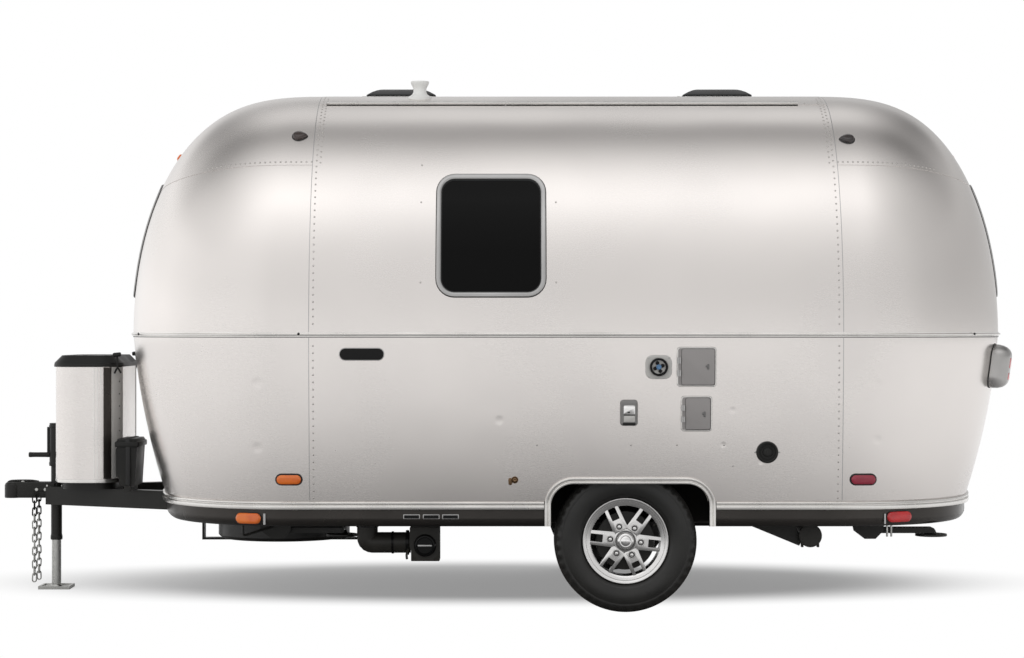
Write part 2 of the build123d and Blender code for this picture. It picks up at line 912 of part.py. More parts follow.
def make_end_lamps(end, side_x, corner_x, corner_z):
    """Lamps of one end: low on both sides, on the roof's corners and three across the end."""
    radius = clearance_lamp_radius
    region = side_prism(corner_x, corner_z, 2 * radius, 2 * radius, radius * round_share, -1)
    corner = layer(upper_body, clearance_lamp_proud, seat_gap, region)
    low = side_boss(
        side_x,
        side_lamp_z,
        side_lamp_width,
        side_lamp_height,
        side_lamp_height / 2 * round_share,
        side_lamp_proud,
    )
    lamps = [low, other_side(low), corner, other_side(corner)]
    for step in (-1, 0, 1):
        y = step * end_lamp_spacing
        region = end_prism(y, end_lamp_z, 2 * radius, radius, radius / 2 * round_share, end)
        lamps.append(layer(upper_body, clearance_lamp_proud, seat_gap, region))
    return Compound(lamps)


def flat_roof_z():
    """Height of the flat strip along the top of the roof."""
    return belt_z + upper_height_shares[-1] * (roof_z - belt_z)


def make_vent_base(x):
    """Flange and upstand round a roof opening."""
    z0 = flat_roof_z() + seat_gap
    half = vent_size / 2 - seat_gap
    reach = half + vent_flange
    base = block(x - reach, x + reach, -reach, reach, z0, z0 + vent_flange_thickness)
    base += block(x - half, x + half, -half, half, z0 - wall, z0 + vent_upstand)
    inner = half - vent_wall
    return base - block(x - inner, x + inner, -inner, inner, z0 - 2 * wall, z0 + overrun)


def vent_pivot(x):
    """Place of a vent lid's hinge line, at its forward edge."""
    z = flat_roof_z() + vent_flange_thickness + 2 * vent_hinge_radius
    return x - vent_size / 2 - vent_flange - vent_hinge_radius, z


def make_vent_lid(x):
    """Domed lid that laps over the upstand, with a hinge barrel at its forward edge."""
    z0 = flat_roof_z() + vent_upstand + seat_gap * 2
    half = vent_size / 2 + vent_lid_lap
    top = vent_lid_top_share * 2 * half
    lower = Pos(x, 0, z0) * RectangleRounded(2 * half, 2 * half, vent_flange)
    upper = Pos(x, 0, z0 + vent_lid_height) * RectangleRounded(top, top, vent_flange)
    lid = loft([lower.face(), upper.face()])
    px, pz = vent_pivot(x)
    reach = vent_size / 4
    barrel = rod_y(px, -reach, reach, pz, vent_hinge_radius)
    thick = vent_hinge_radius / 2
    strap = block(px, x - half + vent_lid_lap / 2, -reach, reach, pz - thick, pz + thick)
    return lid + barrel + strap


def make_vent_hinges(x):
    """Ears that hold the hinge barrel."""
    px, pz = vent_pivot(x)
    reach = vent_size / 4
    ears = []
    for side in (-1, 1):
        y0 = side * (reach + seat_gap)
        y1 = side * (reach + 2 * vent_wall)
        ear = block(
            px - vent_hinge_radius,
            px + 2 * vent_hinge_radius,
            min(y0, y1),
            max(y0, y1),
            flat_roof_z() + seat_gap,
            pz + vent_hinge_radius,
        )
        ears.append(ear)
    return ears[0] + ears[1]


def make_mast():
    """Flared pedestal on the roof."""
    share = (abs(mast_y) / body_half_width) ** roof_curve_root
    z0 = belt_z + (1 - share) ** (1 / roof_curve_power) * (roof_z - belt_z)
    foot = z0 - 2 * mast_foot_height
    rise = mast_top_z - z0
    points = [
        (0, foot),
        (mast_foot_radius, foot),
        (mast_foot_radius, z0 + mast_foot_height),
        (mast_neck_radius, z0 + rise * mast_neck_share),
        (mast_neck_radius, z0 + rise * mast_flare_share),
        (mast_top_radius, mast_top_z - mast_foot_height),
        (mast_top_radius, mast_top_z),
        (0, mast_top_z),
    ]
    profile = make_face(Plane.XZ * Polyline(points, close=True))
    mast = Pos(mast_x, mast_y, 0) * revolve(profile, Axis.Z)
    return mast - upper_body(seat_gap)


def make_awning():
    """Rolled awning beside the kerb side roof rail, with its end brackets."""
    face = skin_y(awning_z)
    y = face + awning_outboard
    reach = awning_bracket_width
    roll = rod_x(roof_rail_front_x, roof_rail_rear_x, y, awning_z, awning_radius)
    for x in (roof_rail_front_x, roof_rail_rear_x - reach):
        bracket = block(x, x + reach, face - 2 * reach, y, awning_z - reach, awning_z + reach)
        bracket -= upper_body(seat_gap)
        bracket -= block(x, x + reach, 0, face + reach, awning_z, roof_z)
        roll += bracket
    return roll


def make_awning_arms():
    """Flat arms folded against the side below each end of the awning."""
    top = awning_z - awning_radius - moving_gap
    arms = []
    for x in (roof_rail_front_x - awning_arm_width, roof_rail_rear_x):
        region = block(
            x, x + awning_arm_width, body_half_width / 2, body_half_width + overrun,
            awning_arm_bottom_z, top,
        )
        inner = belt_rail_depth + 2 * seat_gap
        arm = layer(upper_body, awning_arm_proud, inner, region)
        arm += layer(lower_body, awning_arm_proud, inner, region)
        arms.append(arm)
    return arms


def tyre_profile():
    """Half width and radius of the tyre's section, from one bead over the tread."""
    return [
        (bead_half_width, bead_radius + seat_gap),
        (tyre_width / 2, tyre_bulge_radius),
        (shoulder_half_width, shoulder_radius),
        (tread_half_width, tyre_radius),
    ]


def make_tyre():
    """Tyre about Z, centred on its middle plane."""
    half = tyre_profile()
    points = [(radius, across) for across, radius in half]
    points += [(radius, -across) for across, radius in reversed(half)]
    tyre = revolve(make_face(Plane.XZ * Polyline(points, close=True)), Axis.Z)
    flange = rim_flange_radius + seat_gap
    seat = bead_half_width - seat_gap
    tyre -= rod_z(0, 0, seat, tyre_width, flange)
    tyre -= rod_z(0, 0, -tyre_width, -seat, flange)
    return tyre


def make_rim():
    """Six pairs of spokes in a drop centre rim, outer face towards +Z."""
    edge = bead_half_width + rim_flange_width
    outer = [
        (rim_flange_radius, edge),
        (rim_flange_radius, bead_half_width),
        (bead_radius, bead_half_width),
        (bead_radius, rim_drop_half_width + rim_drop),
        (bead_radius - rim_drop, rim_drop_half_width),
    ]
    mirrored = [(radius, -across) for radius, across in reversed(outer)]
    inner = [(radius - rim_wall, across) for radius, across in outer]
    inner_mirrored = [(radius, -across) for radius, across in reversed(inner)]
    points = outer + mirrored + list(reversed(inner_mirrored)) + list(reversed(inner))
    rim = revolve(make_face(Plane.XZ * Polyline(points, close=True)), Axis.Z)
    z1 = edge - spoke_face_inset
    z0 = z1 - spoke_depth
    reach = bead_radius - rim_drop - rim_wall / 2
    spoke = Pos((reach + hub_disc_radius / 2) / 2, spoke_spacing / 2, (z0 + z1) / 2) * Box(
        reach - hub_disc_radius / 2, spoke_width, spoke_depth
    )
    pair = spoke + mirror(spoke, Plane.XZ)
    for index in range(spoke_pairs):
        rim += Rot(0, 0, index * 360 / spoke_pairs) * pair
    rim += rod_z(0, 0, z0, z1, hub_disc_radius)
    rim += rod_z(0, 0, z1, z1 + hub_cap_height, hub_cap_radius)
    for index in range(spoke_pairs):
        angle = index * 360 / spoke_pairs
        nut = Pos(lug_circle_radius, 0, z1) * extrude(RegularPolygon(lug_radius, 6), lug_height)
        rim += Rot(0, 0, angle) * nut
    return rim


def add_drum(rim):
    """Brake drum behind the spokes, and the bore for the spindle."""
    z1 = bead_half_width + rim_flange_width - spoke_face_inset
    back = z1 - spoke_depth
    rim += rod_z(0, 0, back - drum_width, back, drum_radius)
    return rim - rod_z(0, 0, back - drum_width, z1, spindle_radius + seat_gap)


def on_axle(shape, side):
    """Places a wheel piece on the road (-1) or kerb (1) side."""
    return Pos(wheel_x, side * track_half, tyre_radius) * Rot(-90 * side, 0, 0) * shape


def make_axle():
    """Torsion axle: tube under the belly, trailing arms and spindles."""
    half = axle_tube / 2
    inner_y = axle_arm_outer_y - axle_arm_thickness
    axle = Pos(axle_tube_x, 0, axle_tube_z) * Box(axle_tube, 2 * inner_y, axle_tube)
    for side in (-1, 1):
        y0 = side * inner_y
        plane = Plane(origin=(0, y0, 0), x_dir=(1, 0, 0), z_dir=(0, side, 0))
        way = -side
        tube_end = (axle_tube_x, way * axle_tube_z)
        wheel_end = (wheel_x, way * tyre_radius)
        arm = make_hull(
            [
                *(Pos(*tube_end) * Circle(axle_arm_width / 2)).edges(),
                *(Pos(*wheel_end) * Circle(axle_arm_width / 2)).edges(),
            ]
        )
        axle += extrude(plane * arm, axle_arm_thickness)
        tip = track_half + bead_half_width / 2
        low = min(side * inner_y, side * tip)
        axle += rod_y(wheel_x, low, low + tip - inner_y, tyre_radius, spindle_radius)
        bracket = block(
            axle_tube_x - axle_bracket_length / 2,
            axle_tube_x + axle_bracket_length / 2,
            axle_bracket_y - axle_bracket_width / 2,
            axle_bracket_y + axle_bracket_width / 2,
            axle_tube_z + half - seat_gap,
            underbelly_bottom_z - seat_gap,
        )
        axle += bracket if side > 0 else other_side(bracket)
    return axle


def make_chassis():
    """A frame of the drawbar with its cross members and jack plate."""
    frame = drawbar_tubes(0) + cross_member(drawbar_rear_x, drawbar_rear_y, 0)
    run = drawbar_rear_x - drawbar_front_x
    for x in (gas_cover_front_x + drawbar_cross_width, gas_cover_rear_x - drawbar_cross_width):
        share = (x - drawbar_front_x) / run
        frame += cross_member(x, drawbar_front_y + share * (drawbar_rear_y - drawbar_front_y), 0)
    half = jack_plate_size / 2
    z0 = drawbar_top_z - drawbar_tube_height
    frame += block(
        drawbar_front_x + seat_gap,
        jack_x + half,
        -half,
        half,
        drawbar_top_z - jack_plate_thickness,
        drawbar_top_z,
    )
    frame -= rod_z(jack_x, 0, 0, drawbar_top_z + overrun, jack_outer_radius + seat_gap)
    frame -= block(jack_x - half, drawbar_rear_x, -drawbar_front_y / 2, drawbar_front_y / 2, 0, z0)
    return frame + make_gas_tray()


def make_coupler():
    """Ball coupler: channel over the drawbar's nose, round nose with its socket, and lever."""
    nose_r = coupler_half_width
    nose_x = coupler_nose_x + nose_r
    body = rod_z(nose_x, 0, coupler_bottom_z, coupler_top_z - coupler_lever_thickness, nose_r)
    rear = drawbar_front_x
    body += block(
        nose_x, rear, -coupler_channel_half_width, coupler_channel_half_width,
        coupler_bottom_z, coupler_top_z - coupler_lever_thickness,
    )
    body -= rod_z(nose_x, 0, coupler_bottom_z, coupler_bottom_z + ball_socket_depth, ball_socket_radius)
    top = coupler_top_z - coupler_lever_thickness
    lever_x = nose_x + nose_r / 2
    lever = block(
        lever_x, lever_x + coupler_lever_length, -coupler_lever_width / 2, coupler_lever_width / 2,
        top, coupler_top_z,
    )
    reach = chain_y + chain_link_width / 2
    bar = rod_y(chain_x, -reach, reach, chain_bar_z, chain_bar_radius)
    return body + lever + bar


def make_jack_tube():
    """Outer tube and head of the tongue jack, with its crank."""
    tube = rod_z(jack_x, 0, jack_tube_bottom_z, jack_tube_top_z, jack_outer_radius)
    tube += rod_z(jack_x, 0, jack_tube_top_z, jack_head_top_z, jack_head_radius)
    bore_top_z = jack_inner_top_z + jack_travel + moving_gap
    tube -= rod_z(jack_x, 0, jack_tube_bottom_z, bore_top_z, jack_inner_radius + seat_gap)
    crank = rod_x(crank_arm_x, jack_x, 0, crank_pivot_z, crank_radius)
    arm_bottom_z = crank_bottom_z - crank_radius
    arm_top_z = crank_pivot_z + crank_radius
    crank += rod_z(crank_arm_x, 0, arm_bottom_z, arm_top_z, crank_radius)
    crank += rod_x(grip_end_x, crank_arm_x, 0, crank_bottom_z, grip_radius)
    return tube + crank


def make_jack_leg():
    """Inner tube and foot plate of the tongue jack."""
    leg = rod_z(jack_x, 0, jack_foot_thickness, jack_inner_top_z, jack_inner_radius)
    half = jack_foot_width / 2
    foot = block(jack_x - half, jack_x + half, -half, half, 0, jack_foot_thickness)
    lip = block(jack_x - half, jack_x + half, -half, half, jack_foot_thickness, jack_foot_lip)
    inner = half - jack_foot_thickness
    lip -= block(jack_x - inner, jack_x + inner, -inner, inner, 0, jack_foot_lip)
    return leg + foot + lip


def make_gas_cover():
    """Bottle cover with rounded corners, open below, and its tray on the drawbar."""
    x = (gas_cover_front_x + gas_cover_rear_x) / 2
    length = gas_cover_rear_x - gas_cover_front_x
    width = 2 * gas_cover_half_width
    height = gas_cover_top_z - gas_cover_bottom_z
    base = Pos(x, 0, gas_cover_bottom_z)
    cover = extrude(base * RectangleRounded(length, width, gas_cover_corner), height)
    trim = 2 * gas_cover_wall
    inner = RectangleRounded(length - trim, width - trim, gas_cover_corner - gas_cover_wall)
    cover -= extrude(base * inner, height)
    return cover


def make_gas_tray():
    """Tray under the bottles: a pressed floor on a smaller riser."""
    x = (gas_cover_front_x + gas_cover_rear_x) / 2
    length = gas_cover_rear_x - gas_cover_front_x
    width = 2 * gas_cover_half_width
    inset = 2 * gas_tray_inset
    corner = gas_cover_corner - gas_tray_inset
    riser = RectangleRounded(length - inset, width - inset, corner)
    plate = RectangleRounded(length, width, gas_cover_corner)
    top = gas_cover_bottom_z - seat_gap
    tray = extrude(Pos(x, 0, drawbar_top_z) * riser, top - drawbar_top_z)
    return tray + extrude(Pos(x, 0, top - gas_tray_plate) * plate, gas_tray_plate)


def make_gas_lid():
    """Lid of the bottle cover with a wide bevel."""
    x = (gas_cover_front_x + gas_cover_rear_x) / 2
    length = gas_cover_rear_x - gas_cover_front_x + 2 * gas_lid_lap
    width = 2 * (gas_cover_half_width + gas_lid_lap)
    z0 = gas_cover_top_z + seat_gap
    outline = RectangleRounded(length, width, gas_cover_corner)
    lid = extrude(Pos(x, 0, z0) * outline, gas_lid_top_z - z0)
    return chamfer(lid.faces().sort_by(Axis.Z)[-1].edges(), gas_lid_edge)


def make_battery_box():
    """Vented battery box on a bar across the drawbar tubes."""
    x = (battery_front_x + battery_rear_x) / 2
    y = (battery_inner_y + battery_outer_y) / 2
    length = battery_rear_x - battery_front_x
    width = battery_inner_y - battery_outer_y
    trim = 2 * battery_taper
    lower = Pos(x, y, battery_bottom_z) * Rectangle(length - trim, width - trim)
    upper = Pos(x, y, battery_top_z) * Rectangle(length, width)
    box = loft([lower.face(), upper.face()])
    box += block(
        x - battery_bar / 2, x + battery_bar / 2, battery_outer_y, battery_inner_y,
        drawbar_top_z + seat_gap, battery_bottom_z,
    )
    return box


def link_solid():
    """One chain link of flat bar, long way along Z and open way along Y."""
    half_l = chain_link_length / 2
    half_w = chain_link_width / 2

    def outline(inset, corner):
        a = half_w - inset
        b = half_l - inset
        return Polyline(
            [
                (a, b - corner), (a - corner, b), (-a + corner, b), (-a, b - corner),
                (-a, -b + corner), (-a + corner, -b), (a - corner, -b), (a, -b + corner),
            ],
            close=True,
        )

    ring = make_face(outline(0, chain_corner)) - make_face(outline(chain_wire, chain_corner / 2))
    return Rot(90, 0, 0) * extrude(ring, chain_wire / 2, both=True)


def make_chains():
    """Two chains hanging from the drawbar's nose, links turned by turns."""
    pitch = chain_link_length - 2 * chain_wire - seat_gap
    top = chain_bar_z + chain_bar_radius + seat_gap + chain_wire - chain_link_length / 2
    links = []
    link = link_solid()
    for side in (-1, 1):
        for index in range(chain_links):
            z = top - pitch * index
            turn = 90 * (index % 2)
            links.append(Pos(chain_x, side * chain_y, z) * Rot(0, 0, turn) * link)
    return Compound(links)


def make_spare():
    """Spare wheel lying flat under the belly, and its carrier."""
    z = spare_bottom_z + tyre_width / 2
    place = Pos(spare_x, 0, z) * Rot(180, 0, 0)
    tyre = place * make_tyre()
    rim = place * make_rim()
    z1 = spare_bottom_z - seat_gap
    bar = block(
        spare_x - spare_carrier_half_length,
        spare_x + spare_carrier_half_length,
        -spare_carrier_width / 2,
        spare_carrier_width / 2,
        z1 - spare_carrier_thickness,
        z1,
    )
    for end in (-1, 1):
        x = spare_x + end * (spare_carrier_half_length - spare_hanger_thickness / 2)
        bar += block(
            x - spare_hanger_thickness / 2,
            x + spare_hanger_thickness / 2,
            -spare_carrier_width / 2,
            spare_carrier_width / 2,
            z1,
            underbelly_bottom_z - seat_gap,
        )
    return tyre, rim, bar


def make_stabiliser(pivot_x, side):
    """Swing down leg lying flat: two bars, a round foot and the pivot tube."""
    y = side * stabiliser_y
    z = stabiliser_pivot_z
    spread = stabiliser_bar_spacing / 2
    half = stabiliser_bar / 2
    end = pivot_x + stabiliser_length
    leg = rod_y(pivot_x, y - spread, y + spread, z, half)
    for way in (-1, 1):
        y0 = y + way * spread
        leg += block(pivot_x, end, y0 - half / 2, y0 + half / 2, z - half, z + half)
    leg += rod_y(end, y - spread, y + spread, z, half)
    foot = z - stabiliser_pad_drop - half
    leg += rod_z(end, y, foot, z - half / 2, half)
    leg += rod_z(end, y, foot, foot + stabiliser_pad_thickness, stabiliser_pad_radius)
    return leg - rod_y(pivot_x, y - overrun, y + overrun, z, stabiliser_pin_radius + seat_gap)


def make_stabiliser_mounts():
    """Ears and pins that carry the four swing down legs."""
    mounts = []
    for name, pivot_x, side in stabiliser_table:
        y = side * stabiliser_y
        z = stabiliser_pivot_z
        reach = stabiliser_bar_spacing / 2 + stabiliser_bar / 4 + seat_gap
        tip = reach + stabiliser_ear
        pin = rod_y(pivot_x, y - tip, y + tip, z, stabiliser_pin_radius)
        half = stabiliser_ear_length / 2
        for way in (-1, 1):
            y0 = y + way * reach
            y1 = y + way * tip
            pin += block(
                pivot_x - half, pivot_x + half, min(y0, y1), max(y0, y1),
                z - half, underbelly_bottom_z - seat_gap,
            )
        top = underbelly_bottom_z - seat_gap
        pin += block(
            pivot_x - half, pivot_x + half, y - tip, y + tip, top - stabiliser_ear, top,
        )
        mounts.append(pin)
    return Compound(mounts)


def make_drain():
    """Waste valve, pipe and cap below the road side."""
    y = drain_y
    valve = block(
        drain_valve_front_x, drain_valve_rear_x,
        y - drain_valve_half_width, y + drain_valve_half_width,
        drain_valve_bottom_z, underbelly_bottom_z - seat_gap,
    )
    valve = chamfer(valve.edges().filter_by(Axis.Y).group_by(Axis.Z)[0], drain_valve_chamfer)
    valve += rod_x(
        drain_pipe_front_x, drain_valve_front_x, y, drain_pipe_z, drain_pipe_radius
    )
    flange_x = drain_pipe_rear_x - drain_flange_thickness
    valve += rod_x(flange_x, drain_valve_front_x, y, drain_pipe_z, drain_flange_radius)
    valve += rod_z(drain_pipe_front_x, y, drain_pipe_z, underbelly_bottom_z - seat_gap, drain_pipe_radius)
    valve += Pos(drain_pipe_front_x, y, drain_pipe_z) * Sphere(drain_pipe_radius)
    x = (drain_valve_front_x + drain_valve_rear_x) / 2
    outer = y - drain_valve_half_width
    z = (drain_valve_top_z + drain_valve_bottom_z) / 2
    valve += rod_y(x, outer - drain_cap_length, outer, z, drain_cap_radius)
    return valve


def make_hose_tube():
    """Carrier tube across the body behind the wheels, with end caps and hangers."""
    half = hose_tube_half_length
    x = hose_tube_x
    z = hose_tube_z
    tube = rod_y(x, -half, half, z, hose_tube_radius)
    for side in (-1, 1):
        y0 = side * half
        y1 = side * (half + hose_cap_length)
        tube += rod_y(x, min(y0, y1), max(y0, y1), z, hose_tube_radius + hose_cap_lap)
        hanger = block(
            x - hose_tube_radius, x + hose_tube_radius,
            side * hose_hanger_y - hose_hanger_width / 2, side * hose_hanger_y + hose_hanger_width / 2,
            z, underbelly_bottom_z - seat_gap,
        )
        tube += hanger
    return tube


def make_step():
    """Entry step folded away under the door."""
    z1 = step_top_z
    tread = block(step_front_x, step_rear_x, step_inner_y, step_outer_y, z1 - step_tread, z1)
    for x in (step_front_x, step_rear_x - step_side):
        tread += block(
            x, x + step_side, step_inner_y, step_outer_y - step_tread, z1, underbelly_bottom_z - seat_gap
        )
    return tread


def main():
    """Builds every piece and writes it under its own name."""
    parts = make_shell()
    parts["floor"] = make_floor()
    parts["underbelly"] = make_underbelly()
    parts["rub_rail"] = make_rub_rail()
    parts["belt_rail"] = make_belt_rail()
    parts["roof_rails"] = make_roof_rails()
    parts["wheel_wells"] = make_wheel_wells()
    parts["arch_trims"] = make_arch_trims()
    parts["window_frames"], parts["window_panes"] = make_windows()
    fixed, moving = make_door_hinges()
    panel, pane = make_door()
    for strap in moving:
        panel += strap
    parts["door_hinges"] = fixed
    parts["door_panel"] = panel
    parts["door_pane"] = pane
    parts["door_handle"] = make_door_handle()
    frames, lids = make_hatches()
    frames, lids = make_hatch_hinges(frames, lids)
    parts["hatch_frames"] = Compound(frames)
    for name, lid in lids.items():
        parts[f"hatch_lid_{name}"] = lid
    parts["shore_inlet"] = make_shore_inlet()
    outlet = side_boss(
        outlet_x, outlet_z, outlet_width, outlet_height, inlet_plate, outlet_proud
    )
    round_vent = side_drum(
        round_vent_x, round_vent_z, round_vent_radius, 2 * seat_gap, round_vent_proud
    ) - lower_body(seat_gap)
    small = side_drum(
        small_fixture_x, small_fixture_z, small_fixture_radius, 2 * seat_gap, small_fixture_proud
    ) - lower_body(seat_gap)
    parts["side_fittings"] = Compound([outlet, round_vent, small])
    for name, end, side_x, corner_x, corner_z in lamp_table:
        parts[name] = make_end_lamps(end, side_x, corner_x, corner_z)
    parts["tail_lamps"] = make_tail_lamps()
    bases = []
    for name, x in vent_table:
        bases.append(make_vent_base(x) + make_vent_hinges(x))
        parts[f"roof_vent_lid_{name}"] = make_vent_lid(x)
    parts["roof_vent_bases"] = Compound(bases)
    parts["roof_mast"] = make_mast()
    parts["awning"] = Compound([make_awning()] + make_awning_arms())
    for name, side in (("left", -1), ("right", 1)):
        parts[f"tyre_{name}"] = on_axle(make_tyre(), side)
        parts[f"rim_{name}"] = on_axle(add_drum(make_rim()), side)
    parts["axle"] = make_axle()
    parts["drawbar"] = make_chassis()
    parts["coupler"] = make_coupler()
    parts["jack_tube"] = make_jack_tube()
    parts["jack_leg"] = make_jack_leg()
    parts["gas_cover"] = make_gas_cover()
    parts["gas_cover_lid"] = make_gas_lid()
    parts["battery_box"] = make_battery_box()
    parts["safety_chains"] = make_chains()
    parts["spare_tyre"], parts["spare_rim"], parts["spare_carrier"] = make_spare()
    for name, pivot_x, side in stabiliser_table:
        parts[f"stabiliser_{name}"] = make_stabiliser(pivot_x, side)
    parts["stabiliser_mounts"] = make_stabiliser_mounts()
    parts["drain"] = make_drain()
    parts["hose_tube"] = make_hose_tube()
    parts["entry_step"] = make_step()
    os.makedirs("parts", exist_ok=True)
    for name, shape in parts.items():
        export_step(shape, f"parts/{name}.step")


main()
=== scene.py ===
import itertools
import json
from math import asin, atan2, cos, hypot, pi, radians, sin, sqrt

import bmesh
import bpy
from mathutils import Matrix, Vector

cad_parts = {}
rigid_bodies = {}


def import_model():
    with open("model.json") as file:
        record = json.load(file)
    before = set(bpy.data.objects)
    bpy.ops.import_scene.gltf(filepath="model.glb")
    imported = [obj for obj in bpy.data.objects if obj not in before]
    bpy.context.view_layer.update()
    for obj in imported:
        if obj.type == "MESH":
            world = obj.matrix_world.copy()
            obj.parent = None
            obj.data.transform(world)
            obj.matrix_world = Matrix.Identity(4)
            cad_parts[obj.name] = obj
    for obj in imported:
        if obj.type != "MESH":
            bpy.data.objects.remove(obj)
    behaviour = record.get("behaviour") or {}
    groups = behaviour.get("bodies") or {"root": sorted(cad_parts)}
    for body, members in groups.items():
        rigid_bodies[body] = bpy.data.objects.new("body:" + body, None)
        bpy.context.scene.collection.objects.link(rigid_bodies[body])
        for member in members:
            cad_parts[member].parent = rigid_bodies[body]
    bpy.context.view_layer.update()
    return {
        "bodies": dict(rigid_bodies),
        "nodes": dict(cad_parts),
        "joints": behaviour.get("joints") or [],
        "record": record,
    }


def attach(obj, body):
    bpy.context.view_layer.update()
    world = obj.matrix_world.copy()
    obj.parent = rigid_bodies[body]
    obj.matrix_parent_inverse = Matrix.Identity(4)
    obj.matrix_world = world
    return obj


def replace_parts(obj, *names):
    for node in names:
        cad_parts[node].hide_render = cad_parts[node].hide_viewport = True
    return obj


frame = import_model()

# The body's outline, in metres, as the CAD solids have it
HALF_WIDTH = 1.22
BARREL_FRONT, BARREL_REAR = -0.884, 1.579
FRONT_LENGTH, REAR_LENGTH = 0.985, 0.922
SILL_Z, BELT_Z, ROOF_Z = 0.53, 1.31, 2.51
FLAT_SHARE = 0.995
FLAT_Z = BELT_Z + FLAT_SHARE * (ROOF_Z - BELT_Z)
ROOF_SEAM_Y = 0.6
LOWER_CAP_SEAM_Z, CAP_SEAM_DROP = 2.112, 0.107
SHEET_PROUD, LAP_PROUD = 0.0015, 0.0029
SHEET = 0.0012
WHEEL_X, TRACK_HALF, WHEEL_R, LUG_R = 0.584, 1.0025, 0.3365, 0.0725
# Wheel opening: x from and to, top and corner radius; door: x and z from and to, and corner radius
ARCH = (0.232, 0.971, 0.611, 0.105)
DOOR = (-0.8, -0.15, 0.566, 2.13, 0.11)


# Body surface
def section(z):
    """Front length, rear length and half width of the body at a height."""
    if z <= BELT_Z:
        down = (BELT_Z - z) / (BELT_Z - SILL_Z)
        tuck = 0.4 * down + 0.6 * down * down
        return FRONT_LENGTH - 0.155 * tuck, REAR_LENGTH - 0.155 * tuck, HALF_WIDTH - 0.055 * tuck
    up = min(FLAT_SHARE, (z - BELT_Z) / (ROOF_Z - BELT_Z))
    shrink = (1 - up * up) ** (1 / 3)
    return FRONT_LENGTH * shrink, REAR_LENGTH * shrink, HALF_WIDTH * shrink


def plan_arcs(length, width):
    """Small and large radius, the small one's middle, and the sine of where they meet."""
    small, large = 0.6 * width, 2.2 * width
    inset = width - small
    rise = inset / (large - small)
    start = length - large + (large - small) * sqrt(1 - rise * rise)
    return small, large, inset, rise, start


def outside(x, y, z):
    """How far a point stands outside the plan outline at its height."""
    front, rear, width = section(z)
    y = abs(y)
    if x > BARREL_REAR:
        ahead, length = x - BARREL_REAR, rear
    elif x < BARREL_FRONT:
        ahead, length = BARREL_FRONT - x, front
    else:
        return y - width
    small, large, inset, rise, start = plan_arcs(length, width)
    if ahead < start:
        return y - width
    dx, dy = ahead - start, y - inset
    if atan2(dy, dx) > asin(rise):
        return hypot(dx, dy) - small
    return hypot(ahead - (length - large), y) - large


def skin_normal(p):
    """Outward direction of the body's skin at a point on it."""
    if p.z >= FLAT_Z - 0.0005:
        return Vector((0, 0, 1))
    step = 0.0004
    z = p.z
    if abs(z - BELT_Z) < 2 * step:
        z = BELT_Z + 2 * step
    here = [outside(p.x + step, p.y, z) - outside(p.x - step, p.y, z),
            outside(p.x, p.y + step, z) - outside(p.x, p.y - step, z),
            outside(p.x, p.y, z + step) - outside(p.x, p.y, z - step)]
    return Vector(here).normalized()


def lift(p, proud):
    """A point on the skin moved outwards."""
    return p + skin_normal(p) * proud


def side_skin(side, x, z, proud=0.0):
    """Point on the barrel's side: -1 is the road side."""
    return lift(Vector((x, side * section(z)[2], z)), proud)


def joint_x(end):
    """Where the barrel meets an end of the body."""
    return BARREL_FRONT if end < 0 else BARREL_REAR


def forward_at(y, z, end):
    """How far an end reaches from its barrel joint at a distance from the middle plane."""
    length = section(z)[0 if end < 0 else 1]
    small, large, inset, rise, start = plan_arcs(length, section(z)[2])
    y = abs(y)
    if y <= large * rise:
        return length - large + sqrt(large * large - y * y)
    return start + sqrt(max(0.0, small * small - (y - inset) ** 2))


def end_skin(end, y, z, proud):
    """Point on an end of the body: -1 is the front."""
    base = joint_x(end)
    return lift(Vector((base + end * forward_at(y, z, end), y, z)), proud)


def cap_point(end, share, z, proud=0.0):
    """Point on an end, by the share of the way round from the road side (-1) to the kerb side (1)."""
    front, rear, width = section(z)
    length = front if end < 0 else rear
    small, large, inset, rise, start = plan_arcs(length, width)
    turn = asin(rise)
    runs = (start, small * (pi / 2 - turn), large * turn)
    gone = (1 - abs(share)) * sum(runs)
    if gone < runs[0]:
        ahead, y = gone, width
    elif gone < runs[0] + runs[1]:
        a = pi / 2 - (gone - runs[0]) / small
        ahead, y = start + small * cos(a), inset + small * sin(a)
    else:
        a = turn - (gone - runs[0] - runs[1]) / large
        ahead, y = length - large + large * cos(a), large * sin(a)
    base = joint_x(end)
    return lift(Vector((base + end * ahead, y if share > 0 else -y, z)), proud)


def round_point(station, z, proud):
    """Point of a station at a height, moved straight out in plan."""
    kind, which, place = station
    if kind == "cap":
        p = cap_point(which, place, z)
    else:
        p = Vector((place, which * section(z)[2], z))
    out = skin_normal(p)
    out.z = 0
    return p + out.normalized() * proud


# Mesh helpers
WELD, AXIS_R = 0.00001, 0.0001
ALONG, ACROSS, UP = (1, 0, 0), (0, 1, 0), (0, 0, 1)


def mm(*values):
    """Pairs of numbers in millimetres, as points in metres."""
    return [(a / 1000, b / 1000) for a, b in zip(values[::2], values[1::2])]


def plug(*values):
    """The same for a form turned about an axis, with flat ends that reach the axis."""
    points = mm(*values)
    return [(points[0][0], AXIS_R), *points, (points[-1][0], AXIS_R)]


def linked(name, data):
    """A new object in the scene."""
    made = bpy.data.objects.new(name, data)
    bpy.context.scene.collection.objects.link(made)
    return made


def mesh_of(name, bm):
    """The mesh of a bmesh, which is freed."""
    mesh = bpy.data.meshes.new(name)
    bm.to_mesh(mesh)
    bm.free()
    return mesh


def evaluated(piece):
    """The mesh that an object shows, its modifiers or bevel included."""
    graph = bpy.context.evaluated_depsgraph_get()
    return bpy.data.meshes.new_from_object(piece.evaluated_get(graph))


